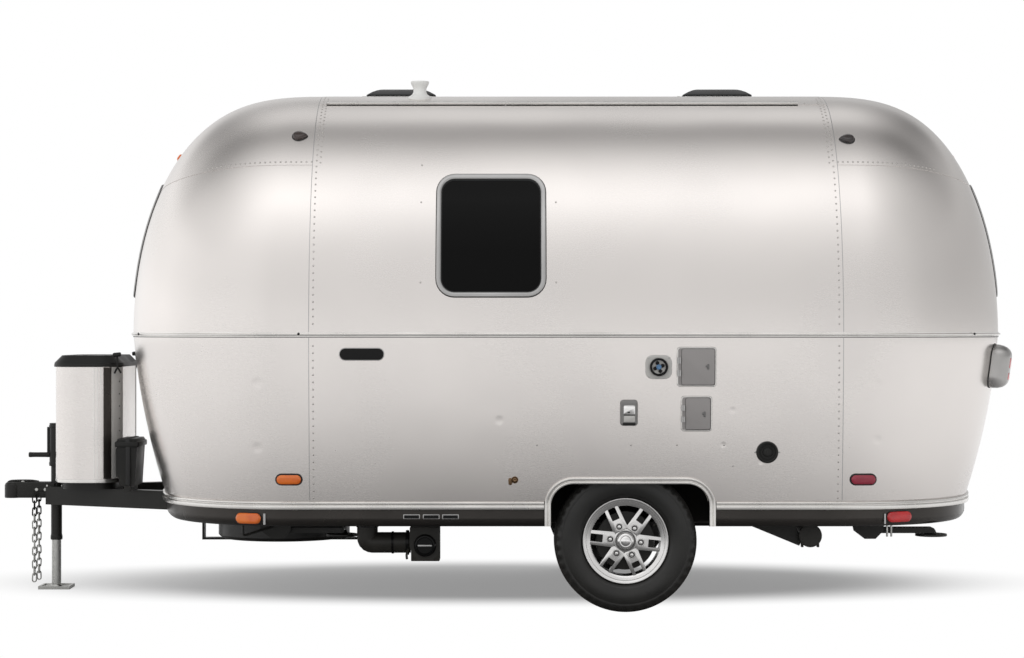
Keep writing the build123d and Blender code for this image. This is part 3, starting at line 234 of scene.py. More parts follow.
def finished(name, bm, material, body="caravan", smooth=35, normals=True):
    """Turns a bmesh into a named piece that rides on a body."""
    if normals:
        bmesh.ops.recalc_face_normals(bm, faces=bm.faces)
    mesh = mesh_of(name, bm)
    mesh.shade_smooth()
    mesh.set_sharp_from_angle(angle=radians(smooth))
    for m in material if isinstance(material, list) else [material]:
        mesh.materials.append(m)
    piece = linked(name, mesh)
    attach(piece, body)
    return piece


def extend(bm, loop):
    """Extrudes a ring of vertices once; the new ring comes in the same order."""
    edges = [bm.edges.get((a, b)) for a, b in zip(loop, loop[1:] + loop[:1])]
    made = bmesh.ops.extrude_edge_only(bm, edges=edges)["geom"]
    new = {v for v in made if isinstance(v, bmesh.types.BMVert)}
    return [next(e.other_vert(v) for e in v.link_edges if e.other_vert(v) in new) for v in loop]


def ringed(count, steps, place, start=False, end=False, joined=False, bm=None):
    """Rings of vertices put in place one after the other; the ends stay open, are capped or meet."""
    bm = bm or bmesh.new()
    loop = bmesh.ops.create_circle(bm, segments=count, radius=1)["verts"]
    loop.sort(key=lambda v: atan2(v.co.y, v.co.x))
    first = loop
    for i, v in enumerate(loop):
        v.co = place(i, 0)
    for k in range(1, steps):
        loop = extend(bm, loop)
        for i, v in enumerate(loop):
            v.co = place(i, k)
    if start:
        bmesh.ops.contextual_create(bm, geom=first)
    if end:
        bmesh.ops.contextual_create(bm, geom=loop)
    if joined:
        edges = [bm.edges.get((a, b)) for ring in (first, loop) for a, b in zip(ring, ring[1:] + ring[:1])]
        bmesh.ops.bridge_loops(bm, edges=edges)
    return bm


def rounded(width, height, radius, inset, i, count):
    """Point i of a rounded rectangle's outline, shrunk by an inset; count is a multiple of four."""
    quarter = count // 4
    corner, j = divmod(i, quarter)
    arc = max(2, quarter // 2)
    r = max(radius - inset, 0.0001)
    hx, hy = width / 2 - inset - r, height / 2 - inset - r
    cx, cy = [(hx, hy), (-hx, hy), (-hx, -hy), (hx, -hy)][corner]
    if j < arc:
        a = pi / 2 * (corner + j / (arc - 1))
        return cx + r * cos(a), cy + r * sin(a)
    nx, ny = [(-hx, hy), (-hx, -hy), (hx, -hy), (hx, hy)][corner]
    a = pi / 2 * (corner + 1)
    t = (j - arc + 1) / (quarter - arc + 1)
    return (cx + (nx - cx) * t + r * cos(a), cy + (ny - cy) * t + r * sin(a))


def turned(profile, middle, axis, segments=32, phase=0.0, bm=None):
    """A profile of (distance along the axis, radius) spun about an axis through a point."""
    bm = bm or bmesh.new()
    axis = Vector(axis).normalized()
    side = axis.orthogonal().normalized()
    side = Matrix.Rotation(phase, 3, axis) @ side
    middle = Vector(middle)
    verts = [bm.verts.new(middle + axis * a + side * r) for a, r in profile]
    edges = [bm.edges.new(pair) for pair in zip(verts, verts[1:])]
    bmesh.ops.spin(bm, geom=verts + edges, cent=middle, axis=axis, dvec=(0, 0, 0), angle=2 * pi,
        steps=segments, use_merge=True, use_duplicate=False)
    bmesh.ops.remove_doubles(bm, verts=bm.verts, dist=WELD)
    return bm


def slab(low, high, bevel, segments, bm=None):
    """A box between two corners with its edges rounded."""
    bm = bm or bmesh.new()
    low, high = Vector(low), Vector(high)
    matrix = Matrix.Translation((low + high) / 2) @ Matrix.Diagonal((*(high - low), 1))
    made = bmesh.ops.create_cube(bm, size=1, matrix=matrix)["verts"]
    edges = list({e for v in made for e in v.link_edges})
    bmesh.ops.bevel(bm, geom=edges, offset=bevel, affect="EDGES", segments=segments, profile=0.5, material=-1)
    return bm


def prism(outline, start, stop, bm=None):
    """A closed solid between two placings of one outline: each maps a point of it to 3-D."""
    ends = (start, stop)
    return ringed(len(outline), 2, lambda i, k: ends[k](*outline[i]), start=True, end=True, bm=bm)


def rod(name, points, radius, material, body="caravan", closed=False, sides=10):
    """A round bar along a line of points, with closed ends."""
    line = bpy.data.curves.new(name, "CURVE")
    line.dimensions = "3D"
    line.bevel_depth = radius
    line.bevel_resolution = max(0, sides // 4 - 1)
    line.use_fill_caps = not closed
    spline = line.splines.new("NURBS")
    spline.points.add(len(points) - 1)
    for point, p in zip(spline.points, points):
        point.co = (*p, 1)
    spline.order_u = 3
    spline.use_endpoint_u = not closed
    spline.resolution_u = 4
    spline.use_cyclic_u = closed
    piece = linked(name + "_line", line)
    mesh = evaluated(piece)
    bpy.data.objects.remove(piece)
    bm = bmesh.new()
    bm.from_mesh(mesh)
    bmesh.ops.remove_doubles(bm, verts=bm.verts, dist=WELD)
    return finished(name, bm, material, body)


def cut(piece, *cutters):
    """Cuts closed shapes out of a piece and makes its modifiers part of its mesh."""
    shapes = []
    for bm in cutters:
        bmesh.ops.recalc_face_normals(bm, faces=bm.faces)
        shapes.append(linked("cutter", mesh_of("cutter", bm)))
        trim = piece.modifiers.new("cut", "BOOLEAN")
        trim.operation, trim.solver, trim.object = "DIFFERENCE", "EXACT", shapes[-1]
    mesh = evaluated(piece)
    piece.modifiers.clear()
    piece.data = mesh
    for shape in shapes:
        bpy.data.objects.remove(shape)
    return piece


def side_cutter(side, x, z, width, height, radius, count=48, near=0.6):
    """A prism through the side wall with a rounded outline."""
    outline = [rounded(width, height, radius, 0, i, count) for i in range(count)]
    return prism(outline, lambda u, v: Vector((x + u, side * near, z + v)), lambda u,
        v: Vector((x + u, side * 1.4, z + v)))


def end_cutter(end, y, z, width, height, radius, count=48):
    """A prism through an end wall with a rounded outline."""
    outline = [rounded(width, height, radius, 0, i, count) for i in range(count)]
    base = joint_x(end)
    return prism(outline, lambda u, v: Vector((base + end * 0.3, y + u, z + v)), lambda u,
        v: Vector((base + end * 1.3, y + u, z + v)))


def arch_cutter(side, grow):
    """The wheel opening, open at the bottom."""
    x0, x1, top, radius = ARCH
    height = top + grow + 0.3
    return side_cutter(side, (x0 + x1) / 2, top + grow - height / 2, x1 - x0 + 2 * grow, height,
        radius + grow, near=0.8)


# Materials
def group(name, inputs, output, build):
    """A shader node group with named inputs and one value out, built once."""
    tree = bpy.data.node_groups.new(name, "ShaderNodeTree")
    for label, value in inputs.items():
        kind = "NodeSocketVector" if isinstance(value, tuple) else "NodeSocketFloat"
        tree.interface.new_socket(label, in_out="INPUT", socket_type=kind).default_value = value
    tree.interface.new_socket(output, in_out="OUTPUT", socket_type="NodeSocketFloat")
    entry, out = tree.nodes.new("NodeGroupInput"), tree.nodes.new("NodeGroupOutput")
    build(Wiring(tree), entry.outputs, out.inputs[output])
    return tree


class Wiring:
    """Short ways to add and join nodes in one tree."""

    def __init__(self, tree):
        self.tree = tree

    def give(self, socket, value):
        if isinstance(value, bpy.types.NodeSocket):
            self.tree.links.new(value, socket)
        else:
            socket.default_value = value

    def put(self, kind, sockets=None, **settings):
        made = self.tree.nodes.new(kind)
        for key, value in settings.items():
            setattr(made, key, value)
        for key, value in (sockets or {}).items():
            self.give(made.inputs[key], value)
        return made

    def sums(self, operation, *values, clamp=False):
        made = self.put("ShaderNodeMath", dict(enumerate(values)), operation=operation, use_clamp=clamp)
        return made.outputs[0]

    def times(self, one, other, clamp=False):
        return self.sums("MULTIPLY", one, other, clamp=clamp)

    def rest(self, share):
        """What a share leaves of one."""
        return self.sums("SUBTRACT", 1.0, share)

    def vector(self, operation, *values):
        made = self.put("ShaderNodeVectorMath", dict(enumerate(values)), operation=operation)
        return made.outputs["Value" if operation in ("LENGTH", "DISTANCE") else "Vector"]

    def span(self, value, low, high, to=(0.0, 1.0), kind="SMOOTHSTEP"):
        """A value mapped from one range onto another and held inside it."""
        sockets = {"Value": value, "From Min": low, "From Max": high, "To Min": to[0], "To Max": to[1]}
        return self.put("ShaderNodeMapRange", sockets, interpolation_type=kind).outputs[0]

    def ramp(self, value, stops):
        made = self.put("ShaderNodeValToRGB", {0: value})
        while len(made.color_ramp.elements) < len(stops):
            made.color_ramp.elements.new(0.5)
        for element, (at, shade) in zip(made.color_ramp.elements, stops):
            element.position = at
            element.color = (shade, shade, shade, 1)
        return made.outputs[0]

    def blend(self, share, one, other):
        return self.put("ShaderNodeMix", {"Factor": share, 6: one, 7: other}, data_type="RGBA").outputs[2]

    def use(self, tree, **sockets):
        """The value of a node group."""
        made = self.tree.nodes.new("ShaderNodeGroup")
        made.node_tree = tree
        for key, value in sockets.items():
            self.give(made.inputs[key.capitalize()], value)
        return made.outputs[0]

    def place(self):
        return self.put("ShaderNodeTexCoord").outputs["Object"]


def rewired(owner):
    """Wiring of the emptied node tree of a material or a world."""
    owner.use_nodes = True
    owner.node_tree.nodes.clear()
    return Wiring(owner.node_tree)


def build_patchy(w, given, out):
    cloud = w.put("ShaderNodeTexNoise", {"Vector": w.place(), "Scale": given["Scale"], "Detail": 3.0})
    w.give(out, w.span(cloud.outputs["Fac"], 0.3, 0.7, kind="LINEAR"))


def build_grain(w, given, out):
    stretch = w.put("ShaderNodeMapping", {"Vector": w.place(), "Scale": given["Stretch"]})
    lines = w.put("ShaderNodeTexNoise", {"Vector": stretch.outputs[0], "Scale": given["Scale"],
        "Detail": 4.0})
    w.give(out, lines.outputs["Fac"])


def build_road_dirt(w, given, out):
    place = w.place()
    height = w.put("ShaderNodeSeparateXYZ", {"Vector": place}).outputs["Z"]
    cloud = w.put("ShaderNodeTexNoise", {"Vector": place, "Scale": 9.0, "Detail": 5.0})
    w.give(out, w.times(w.span(height, given["Top"], 0.1, kind="LINEAR"), cloud.outputs["Fac"], clamp=True))


def build_dent(w, given, out):
    gap = w.vector("DISTANCE", w.place(), given["Middle"])
    w.give(out, w.span(gap, 0.0, given["Radius"], kind="SMOOTHERSTEP"))


def build_wave(w, given, out):
    number = w.put("ShaderNodeAttribute", attribute_name="sheet").outputs["Fac"]
    sockets = {"Vector": w.place(), "W": number, "Scale": given["Scale"], "Detail": 1.5, "Roughness": 0.4}
    w.give(out, w.put("ShaderNodeTexNoise", sockets, noise_dimensions="4D").outputs["Fac"])


PATCHY = group("patchy", {"Scale": 3.0}, "Mask", build_patchy)
GRAIN = group("brushed grain", {"Scale": 60.0, "Stretch": (1, 1, 1)}, "Height", build_grain)
ROAD_DIRT = group("road dirt", {"Top": 0.6}, "Mask", build_road_dirt)
DENT = group("dent", {"Middle": (0, 0, 0), "Radius": 0.05}, "Height", build_dent)
WAVE = group("sheet wave", {"Scale": 2.0}, "Height", build_wave)
ROAD_DUST = (0.16, 0.145, 0.125, 1)


def finish(name, build, **sockets):
    """A material whose Principled sockets are set here and whose patterns are wired by build."""
    material = bpy.data.materials.new(name)
    w = rewired(material)
    shader = w.put("ShaderNodeBsdfPrincipled")
    w.put("ShaderNodeOutputMaterial", {"Surface": shader.outputs[0]})
    for key, value in sockets.items():
        w.give(shader.inputs[key.replace("_", " ").title().replace("Ior", "IOR")], value)
    build(w, shader.inputs)
    return material


def bumped(w, sockets, height, strength, distance, under=None):
    """Joins a height to the shader's normal, over another bump where one is given."""
    values = {"Height": height, "Strength": strength, "Distance": distance}
    if under is not None:
        values["Normal"] = under
    normal = w.put("ShaderNodeBump", values).outputs[0]
    w.give(sockets["Normal"], normal)
    return normal


def metal(name, color, low, high, metallic=1.0, grain=(1, 1, 1), scale=120.0, spots=4.0):
    """Bare or plated metal: patches in its colour and shine, and fine grain."""
    def build(w, sockets):
        mask = w.use(PATCHY, scale=spots)
        w.give(sockets["Base Color"], w.blend(mask, (*color, 1), (*(c * 0.86 for c in color), 1)))
        w.give(sockets["Roughness"], w.span(mask, 0.0, 1.0, (low, high), "LINEAR"))
        bumped(w, sockets, w.use(GRAIN, scale=scale, stretch=grain), 0.35, 0.00004)
    return finish(name, build, metallic=metallic)


def paint(name, color, low, high, share=0.0, top=0.7, scale=300.0, depth=0.0002, **sockets):
    """Paint or moulded plastic with fine texture and a share of dust low down."""
    def build(w, sockets):
        dusty = w.times(w.use(ROAD_DIRT, top=top), share)
        w.give(sockets["Base Color"], w.blend(dusty, (*color, 1), ROAD_DUST))
        w.give(sockets["Roughness"], w.span(w.use(PATCHY, scale=6.0), 0.0, 1.0, (low, high), "LINEAR"))
        bumped(w, sockets, w.use(GRAIN, scale=scale, stretch=(1, 1, 1)), 0.3, depth)
    return finish(name, build, **sockets)


def wire_skin(w, sockets):
    """The riveted skin: each sheet has its own slow waves, fine rolling lines and small dents."""
    mask = w.use(PATCHY, scale=1.1)
    w.give(sockets["Base Color"], w.blend(mask, (0.77, 0.732, 0.706, 1), (0.725, 0.69, 0.668, 1)))
    fine = w.use(GRAIN, scale=90.0, stretch=(0.25, 0.25, 6.0))
    shine = w.span(mask, 0.0, 1.0, (0.23, 0.29), "LINEAR")
    w.give(sockets["Roughness"], w.sums("ADD", shine, w.times(w.sums("SUBTRACT", fine, 0.5), 0.05)))
    under = bumped(w, sockets, w.use(WAVE, scale=1.6), 1.0, 0.01)
    bowls = [w.use(DENT, middle=tuple(side_or_cap(x, z)), radius=radius) for x, z, radius in DENTS]
    height = bowls[0]
    for bowl in bowls[1:]:
        height = w.sums("MINIMUM", height, bowl)
    under = bumped(w, sockets, height, 0.8, 0.0011, under)
    bumped(w, sockets, fine, 0.2, 0.00002, under)


def side_or_cap(x, z):
    """The road side's skin at a place seen square from the side."""
    if BARREL_FRONT <= x <= BARREL_REAR:
        return side_skin(-1, x, z)
    end = -1 if x < BARREL_FRONT else 1
    low, high = -1.0, -0.3
    for _ in range(30):
        middle = (low + high) / 2
        gap = (cap_point(end, middle, z).x - x) * end
        low, high = (middle, high) if gap < 0 else (low, middle)
    return cap_point(end, low, z)


# Small dents of the road side, where the photograph has them: x, z and radius
DENTS = ((-1.14, 1.083, 0.036), (-1.14, 0.78, 0.036), (1.755, 1.078, 0.032), (1.755, 0.817, 0.032),
         (-0.01, 0.91, 0.03), (1.077, 0.957, 0.022), (1.035, 0.795, 0.02), (1.212, 0.715, 0.02))

skin_metal = finish("satin aluminium skin", wire_skin, metallic=1.0)
bead_metal = metal("extruded aluminium", (0.8, 0.78, 0.755), 0.2, 0.3, grain=(0.2, 6, 6))
frame_metal = metal("anodised frame", (0.46, 0.455, 0.45), 0.3, 0.42)
# Darker than the skin: a painted shade for the darker surroundings that the domed heads reflect.
rivet_metal = metal("rivet heads", (0.58, 0.555, 0.535), 0.26, 0.38)
chrome = metal("polished trim", (0.86, 0.85, 0.84), 0.06, 0.14)
wheel_metal = metal("cast wheel", (0.8, 0.79, 0.78), 0.16, 0.26, scale=200.0)
# A dark copy of the wheel's metal: painted shade in the pockets round the wheel nuts. The hub ring, the hatch
# latches and the spare rim take it too.
wheel_shade = metal("wheel barrel", (0.2, 0.197, 0.195), 0.35, 0.5)
zinc = metal("zinc plate", (0.52, 0.52, 0.5), 0.25, 0.45, spots=25.0)
bronze = metal("bronze fixture", (0.2, 0.13, 0.075), 0.25, 0.4, spots=30.0)
# Dark metal of the underbelly skirt; on the gas cover it also paints the shade of a recess.
skirt_metal = metal("dark skirt", (0.05, 0.045, 0.041), 0.24, 0.34, 0.7, (0.3, 0.3, 5))
lamp_metal = metal("lamp housing", (0.46, 0.45, 0.44), 0.22, 0.32)
lid_metal = paint("hatch enamel", (0.3, 0.285, 0.28), 0.36, 0.46, metallic=0.3)
pale_plastic = paint("pale plastic", (0.52, 0.51, 0.49), 0.35, 0.5, 0.1)
white_plastic = paint("white plastic", (0.8, 0.8, 0.78), 0.35, 0.5)
black_plastic = paint("black plastic", (0.01, 0.01, 0.009), 0.34, 0.5, 0.35, specular_ior_level=0.28)
black_paint = paint("black chassis paint", (0.008, 0.008, 0.007), 0.3, 0.45, 0.15, specular_ior_level=0.28)
black_gloss = paint("gloss black", (0.006, 0.006, 0.006), 0.12, 0.2, specular_ior_level=0.15)
# Black rubber of gaskets, seals and straps; the same black also paints the shadow under the belt bead and
# under the gutter lips.
black_gum_and_shadow = paint("black gasket and painted shadow", (0.01, 0.01, 0.01), 0.55, 0.7)
tyre_rubber = paint("tyre rubber", (0.011, 0.011, 0.0105), 0.28, 0.42, 0.1, 0.9, 500.0,
    specular_ior_level=0.45)
tread_rubber = paint("tread rubber", (0.01, 0.0097, 0.0093), 0.6, 0.8, 0.2, 0.9, specular_ior_level=0.3)
dark_glass = paint("tinted glass", (0.003, 0.003, 0.003), 0.03, 0.05, depth=0.00001, specular_ior_level=0.08)
lining = paint("cream lining", (0.62, 0.58, 0.51), 0.5, 0.6)
well_paint = paint("well coating", (0.004, 0.004, 0.004), 0.75, 0.9, 0.35, specular_ior_level=0.15)
canvas = paint("awning canvas", (0.16, 0.16, 0.165), 0.8, 0.9, scale=700.0, depth=0.0006)
smoked_lid = paint("smoked vent lid", (0.008, 0.008, 0.009), 0.2, 0.3, specular_ior_level=0.2)
outlet_plastic = paint("outlet plastic", (0.2, 0.195, 0.19), 0.4, 0.5)
blue_contact = paint("inlet contacts", (0.1, 0.22, 0.4), 0.3, 0.4)
wood_ply = paint("floor ply", (0.32, 0.22, 0.13), 0.5, 0.65, scale=90.0)


def lens(name, color, rim, roughness=0.22):
    """Moulded lamp lens: deeper colour in random patches, with fine prisms."""
    def build(w, sockets):
        w.give(sockets["Base Color"], w.blend(w.use(PATCHY, scale=18.0), (*color, 1), (*rim, 1)))
        lines = w.put("ShaderNodeTexWave", {"Vector": w.place(), "Scale": 42.0, "Distortion": 0.0},
            bands_direction="X")
        bumped(w, sockets, lines.outputs["Fac"], 0.25, 0.0008)
    return finish(name, build, roughness=roughness, coat_weight=0.5)


amber_lens = lens("amber lens", (0.85, 0.2, 0.012), (0.7, 0.12, 0.008))
red_lens = lens("red lens", (0.62, 0.012, 0.014), (0.42, 0.006, 0.01))
crimson_lens = lens("crimson lens", (0.34, 0.01, 0.04), (0.24, 0.006, 0.026), 0.25)
dark_lens = lens("smoked lens", (0.03, 0.014, 0.01), (0.012, 0.008, 0.007), 0.2)

# Finishes of the CAD's nodes; the ones left out get the cabin's lining
NODE_FINISH = {label: look for look, labels in (
    (wood_ply, "floor"), (skirt_metal, "underbelly"), (well_paint, "wheel_wells"),
    (bead_metal, "rub_rail belt_rail roof_rails arch_trims door_hinges"),
    (frame_metal, "window_frames hatch_frames"), (dark_glass, "window_panes door_pane"),
    (chrome, "door_handle"), (lid_metal, "hatch_lid_upper hatch_lid_lower"),
    (pale_plastic, "shore_inlet side_fittings"), (amber_lens, "amber_lamps"), (red_lens, "red_lamps"),
    (skin_metal, "tail_lamps gas_cover"), (white_plastic, "roof_vent_bases roof_mast"),
    (smoked_lid, "roof_vent_lid_front roof_vent_lid_rear"), (canvas, "awning"),
    (tyre_rubber, "tyre_left tyre_right spare_tyre"), (wheel_metal, "rim_left rim_right"),
    (wheel_shade, "spare_rim"), (zinc, "jack_leg safety_chains"),
    (black_plastic, "gas_cover_lid battery_box drain hose_tube"),
    (black_paint, "axle drawbar coupler jack_tube spare_carrier entry_step stabiliser_mounts "
                  "stabiliser_front_left stabiliser_front_right stabiliser_rear_left stabiliser_rear_right"),
) for label in labels.split()}
for label, node in frame["nodes"].items():
    node.data.materials.clear()
    node.data.materials.append(NODE_FINISH.get(label, lining))


# Riveted skin
def even_normals(piece):
    """Gives the outer and inner faces of a sheet the exact slope of the body there."""
    mesh = piece.data
    exact = [skin_normal(v.co) for v in mesh.vertices]
    loops = []
    for face in mesh.polygons:
        for i in face.loop_indices:
            slope = exact[mesh.loops[i].vertex_index]
            turn = face.normal.dot(slope)
            loops.append(slope if turn > 0.6 else -slope if turn < -0.6 else face.normal.copy())
    mesh.normals_split_custom_set(loops)


sheet_numbers = itertools.count()


def sheet(name, nu, nv, place, cutters=(), body="caravan", thickness=SHEET):
    """A thin metal sheet: a grid laid on the skin, thickened inwards, then cut."""
    bm = bmesh.new()
    bmesh.ops.create_grid(bm, x_segments=nu, y_segments=nv, size=1)
    for v in bm.verts:
        v.co = place((v.co.x + 1) / 2, (v.co.y + 1) / 2)
    bmesh.ops.remove_doubles(bm, verts=bm.verts, dist=5 * WELD)
    for f in bm.faces:
        f.normal_update()
    middle = max(bm.faces, key=lambda f: f.calc_area())
    if middle.normal.dot(skin_normal(middle.calc_center_median())) < 0:
        bmesh.ops.reverse_faces(bm, faces=bm.faces)
    piece = finished(name, bm, skin_metal, body, normals=False)
    thick = piece.modifiers.new("thickness", "SOLIDIFY")
    thick.thickness, thick.offset = thickness, -1
    cut(piece, *cutters)
    piece.data.shade_smooth()
    even_normals(piece)
    mark = piece.data.attributes.new("sheet", "FLOAT", "POINT")
    mark.data.foreach_set("value", [next(sheet_numbers) * 1.7] * len(piece.data.vertices))


def seam_z(share, end):
    """Height of the seam round an end, lower in the middle than at the joints."""
    p = cap_point(end, share, 2.06)
    length = section(2.06)[0 if end < 0 else 1]
    return LOWER_CAP_SEAM_Z - CAP_SEAM_DROP * (abs(p.x - joint_x(end)) / length) ** 3.2


def rise_angle(z):
    """How far up the roof's curve a height is; the next one is its inverse."""
    return asin((z - BELT_Z) / (ROOF_Z - BELT_Z))


def height_at(angle):
    return BELT_Z + (ROOF_Z - BELT_Z) * sin(angle)


SEAM_ANGLE = asin(sqrt(1 - (ROOF_SEAM_Y / HALF_WIDTH) ** 3))
FLAT_ANGLE = asin(FLAT_SHARE)
LAP = 0.012


def barrel_x(u):
    return BARREL_FRONT - LAP + (BARREL_REAR - BARREL_FRONT + 2 * LAP) * u


# Windows: middle x and side; then width, height, middle's height and corner radius
WINDOWS = ((-0.049, -1), (0.275, 1), (1.105, 1))
WINDOW = (0.512, 0.58, 1.774, 0.085)
END_WINDOW = (0.9, 0.56, 1.774, 0.085)
DOOR_GAP = 0.03
# Hatches: middle x and z, width and height of the frame
HATCHES = (("upper", 0.909, 1.159, 0.184, 0.184), ("lower", 0.909, 0.941, 0.145, 0.164))
HOLE_LESS = 0.012
OFF_BELT = 0.0006


def door_cutter(grow):
    x0, x1, z0, z1, radius = DOOR
    return side_cutter(1, (x0 + x1) / 2, (z0 + z1) / 2, x1 - x0 + 2 * grow, z1 - z0 + 2 * grow, radius + grow,
        count=64, near=0.5)


def make_barrel_sheets():
    for side, label in ((-1, "road"), (1, "kerb")):
        holes = [side_cutter(side, x, WINDOW[2], WINDOW[0] - HOLE_LESS, WINDOW[1] - HOLE_LESS,
            WINDOW[3] - HOLE_LESS / 2) for x, way in WINDOWS if way == side]
        if side > 0:
            holes.append(door_cutter(DOOR_GAP))
        sheet(f"skin_{label}_upper", 48, 28, lambda u, v: side_skin(
            side, barrel_x(u), height_at(SEAM_ANGLE * v + OFF_BELT), LAP_PROUD), holes)
        holes = [arch_cutter(side, 0.004)]
        if side > 0:
            holes.append(door_cutter(DOOR_GAP))
        else:
            holes += [side_cutter(-1, x, z, width - HOLE_LESS, height - HOLE_LESS, 0.01)
                      for _, x, z, width, height in HATCHES]
        sheet(f"skin_{label}_lower", 48, 14, lambda u, v: side_skin(
            side, barrel_x(u), SILL_Z + (BELT_Z - OFF_BELT - SILL_Z) * v, LAP_PROUD), holes)

    def roof(u, v):
        x = barrel_x(u)
        way = v * 2 - 1
        if abs(way) < 0.4:
            return Vector((x, section(FLAT_Z)[2] * way / 0.4, FLAT_Z + LAP_PROUD))
        share = (abs(way) - 0.4) / 0.6
        z = height_at(FLAT_ANGLE + (SEAM_ANGLE - 0.012 - FLAT_ANGLE) * share)
        return side_skin(1 if way > 0 else -1, x, z, LAP_PROUD + SHEET)
    sheet("skin_roof", 48, 40, roof)


def make_cap_sheets():
    for end, label in ((-1, "front"), (1, "rear")):
        sheet(f"skin_{label}_lower", 96, 14, lambda u, v: cap_point(
            end, u * 2 - 1, SILL_Z + (BELT_Z - OFF_BELT - SILL_Z) * v, SHEET_PROUD))

        def wrap(u, v):
            share = u * 2 - 1
            top = rise_angle(seam_z(share, end)) + 0.012
            return cap_point(end, share, height_at(OFF_BELT + (top - OFF_BELT) * v), SHEET_PROUD)
        hole = end_cutter(end, 0, END_WINDOW[2], END_WINDOW[0] - HOLE_LESS, END_WINDOW[1] - HOLE_LESS,
            END_WINDOW[3] - HOLE_LESS / 2)
        sheet(f"skin_{label}_upper", 96, 22, wrap, [hole])

        def dome(u, v):
            share = u * 2 - 1
            if v > 0.8:
                p = cap_point(end, share, FLAT_Z)
                base = Vector((joint_x(end), 0, FLAT_Z))
                return base + (p - base) * ((1 - v) / 0.2) + Vector((0, 0, 2 * SHEET_PROUD))
            low = rise_angle(seam_z(share, end))
            z = height_at(low + (FLAT_ANGLE - low) * v / 0.8)
            return cap_point(end, share, min(z, FLAT_Z), 2 * SHEET_PROUD)
        sheet(f"skin_{label}_dome", 96, 30, dome)


RIVET, ROOF_RIVET, DOME_RIVET, COVER_RIVET = 0.0048, 0.0045, 0.005, 0.0042
RIVET_SPACING = 0.034


def rivet(bm, p, slope, radius):
    """One domed rivet head sunk halfway into the sheet."""
    turn = slope.to_track_quat("Z", "Y").to_matrix().to_4x4()
    matrix = Matrix.Translation(p) @ turn @ Matrix.Diagonal((radius, radius, radius * 0.55, 1))
    bmesh.ops.create_uvsphere(bm, u_segments=8, v_segments=6, radius=1, matrix=matrix)


def make_rivets():
    bm = bmesh.new()

    def side_rivet(side, x, z):
        p = side_skin(side, x, z, LAP_PROUD)
        rivet(bm, p, skin_normal(side_skin(side, x, z)), RIVET)
    for joint, way in ((BARREL_FRONT, -1), (BARREL_REAR, 1)):
        for side in (-1, 1):
            z = SILL_Z + 0.015
            while z < FLAT_Z - 0.02:
                width = section(z)
                if abs(z - BELT_Z) > 0.02:
                    side_rivet(side, joint - way * 0.006, z)
                    if z > 2.13 and abs(side * width[2]) > 0.05:
                        side_rivet(side, joint - way * 0.024, z - 0.01)
                step = hypot(section(z + 0.004)[2] - width[2], 0.004)
                z += 0.004 * RIVET_SPACING / step
        for i in range(22):
            for side in (-1, 1):
                share = side * (1 - 0.012 - i * 0.0165)
                z = seam_z(share, way) + 0.014
                p = cap_point(way, share, z)
                rivet(bm, p + skin_normal(p) * 2 * SHEET_PROUD, skin_normal(p), DOME_RIVET)
    rows = ((-0.378, (1.552, 1.93, 2.11)), (0.255, (1.552, 1.93)), (0.166, (0.794,)), (0.604, (0.794,)),
            (0.819, (0.794,)), (1.038, (0.794,)), (1.08, (0.696,)))
    for x, heights in rows:
        for z in heights:
            side_rivet(-1, x, z)
    for x in (0.02, 0.62, 1.38):
        for z in (1.45, 1.75, 2.05, 2.25):
            side_rivet(1, x, z)
    x = BARREL_FRONT + 0.03
    while x < BARREL_REAR:
        for side in (-1, 1):
            z = height_at(SEAM_ANGLE - 0.004)
            p = side_skin(side, x, z + 0.004)
            rivet(bm, p + skin_normal(p) * (LAP_PROUD + SHEET), skin_normal(p), ROOF_RIVET)
        x += 0.06
    finished("rivets", bm, rivet_metal, smooth=60)


def make_seam_sealant():
    """Thin dark lines of sealant where the barrel's sheets lap over the ends'."""
    bm = bmesh.new()
    profile = [(-0.0016, 0.0006), (-0.0016, LAP_PROUD + 0.0008), (0.0016, LAP_PROUD + 0.0008),
        (0.0016, 0.0006)]
    for joint in (BARREL_FRONT - LAP - 0.0015, BARREL_REAR + LAP + 0.0015):
        for side in (-1, 1):
            def place(i, k):
                along, out = profile[i]
                z = SILL_Z + 0.004 + (FLAT_Z - 0.012 - SILL_Z) * sin(pi / 2 * k / 59)
                p = side_skin(side, joint, z)
                return p + skin_normal(p) * out + Vector((along, 0, 0))
            ringed(4, 60, place, start=True, end=True, bm=bm)
    finished("seam_sealant", bm, frame_metal)


make_barrel_sheets()
make_cap_sheets()
make_rivets()
make_seam_sealant()


# Rails and trims
def trim_ring(place, outline, steps, profile, bm=None):
    """A closed strip round an outline; its section is a list of (inset, distance out)."""
    def at(i, k):
        inset, out = profile[i]
        return place(*outline(inset, k), out)
    return ringed(len(profile), steps, at, joined=True, bm=bm)


def boss(place, outline, count, profile, bm=None):
    """A closed raised form: each step of the profile is (inset, distance out)."""
    def at(i, k):
        inset, out = profile[k]
        return place(*outline(inset, i), out)
    return ringed(count, len(profile), at, start=True, end=True, bm=bm)


def box_outline(width, height, radius, count=48):
    return lambda inset, i: rounded(width, height, radius, inset, i, count)


def on_side(side, x, z):
    """Maps an outline's point and its distance out onto the side of the barrel."""
    return lambda u, v, out: side_skin(side, x + u, z + v, out)


def pad(x, z, size, profile, bm=None):
    """A raised form on the road side of the barrel; its size is width, height and corner radius."""
    return boss(on_side(-1, x, z), box_outline(*size), 48, profile, bm)


def on_end(end, y, z):
    return lambda u, v, out: end_skin(end, y + u, z + v, out)


def on_road(x, z, side):
    """The same for a place on either side that may be on an end of the body."""
    def at(u, v, out):
        p = side_or_cap(x + u, z + v)
        p = p + skin_normal(p) * out
        return Vector((p.x, p.y * -side, p.z))
    return at


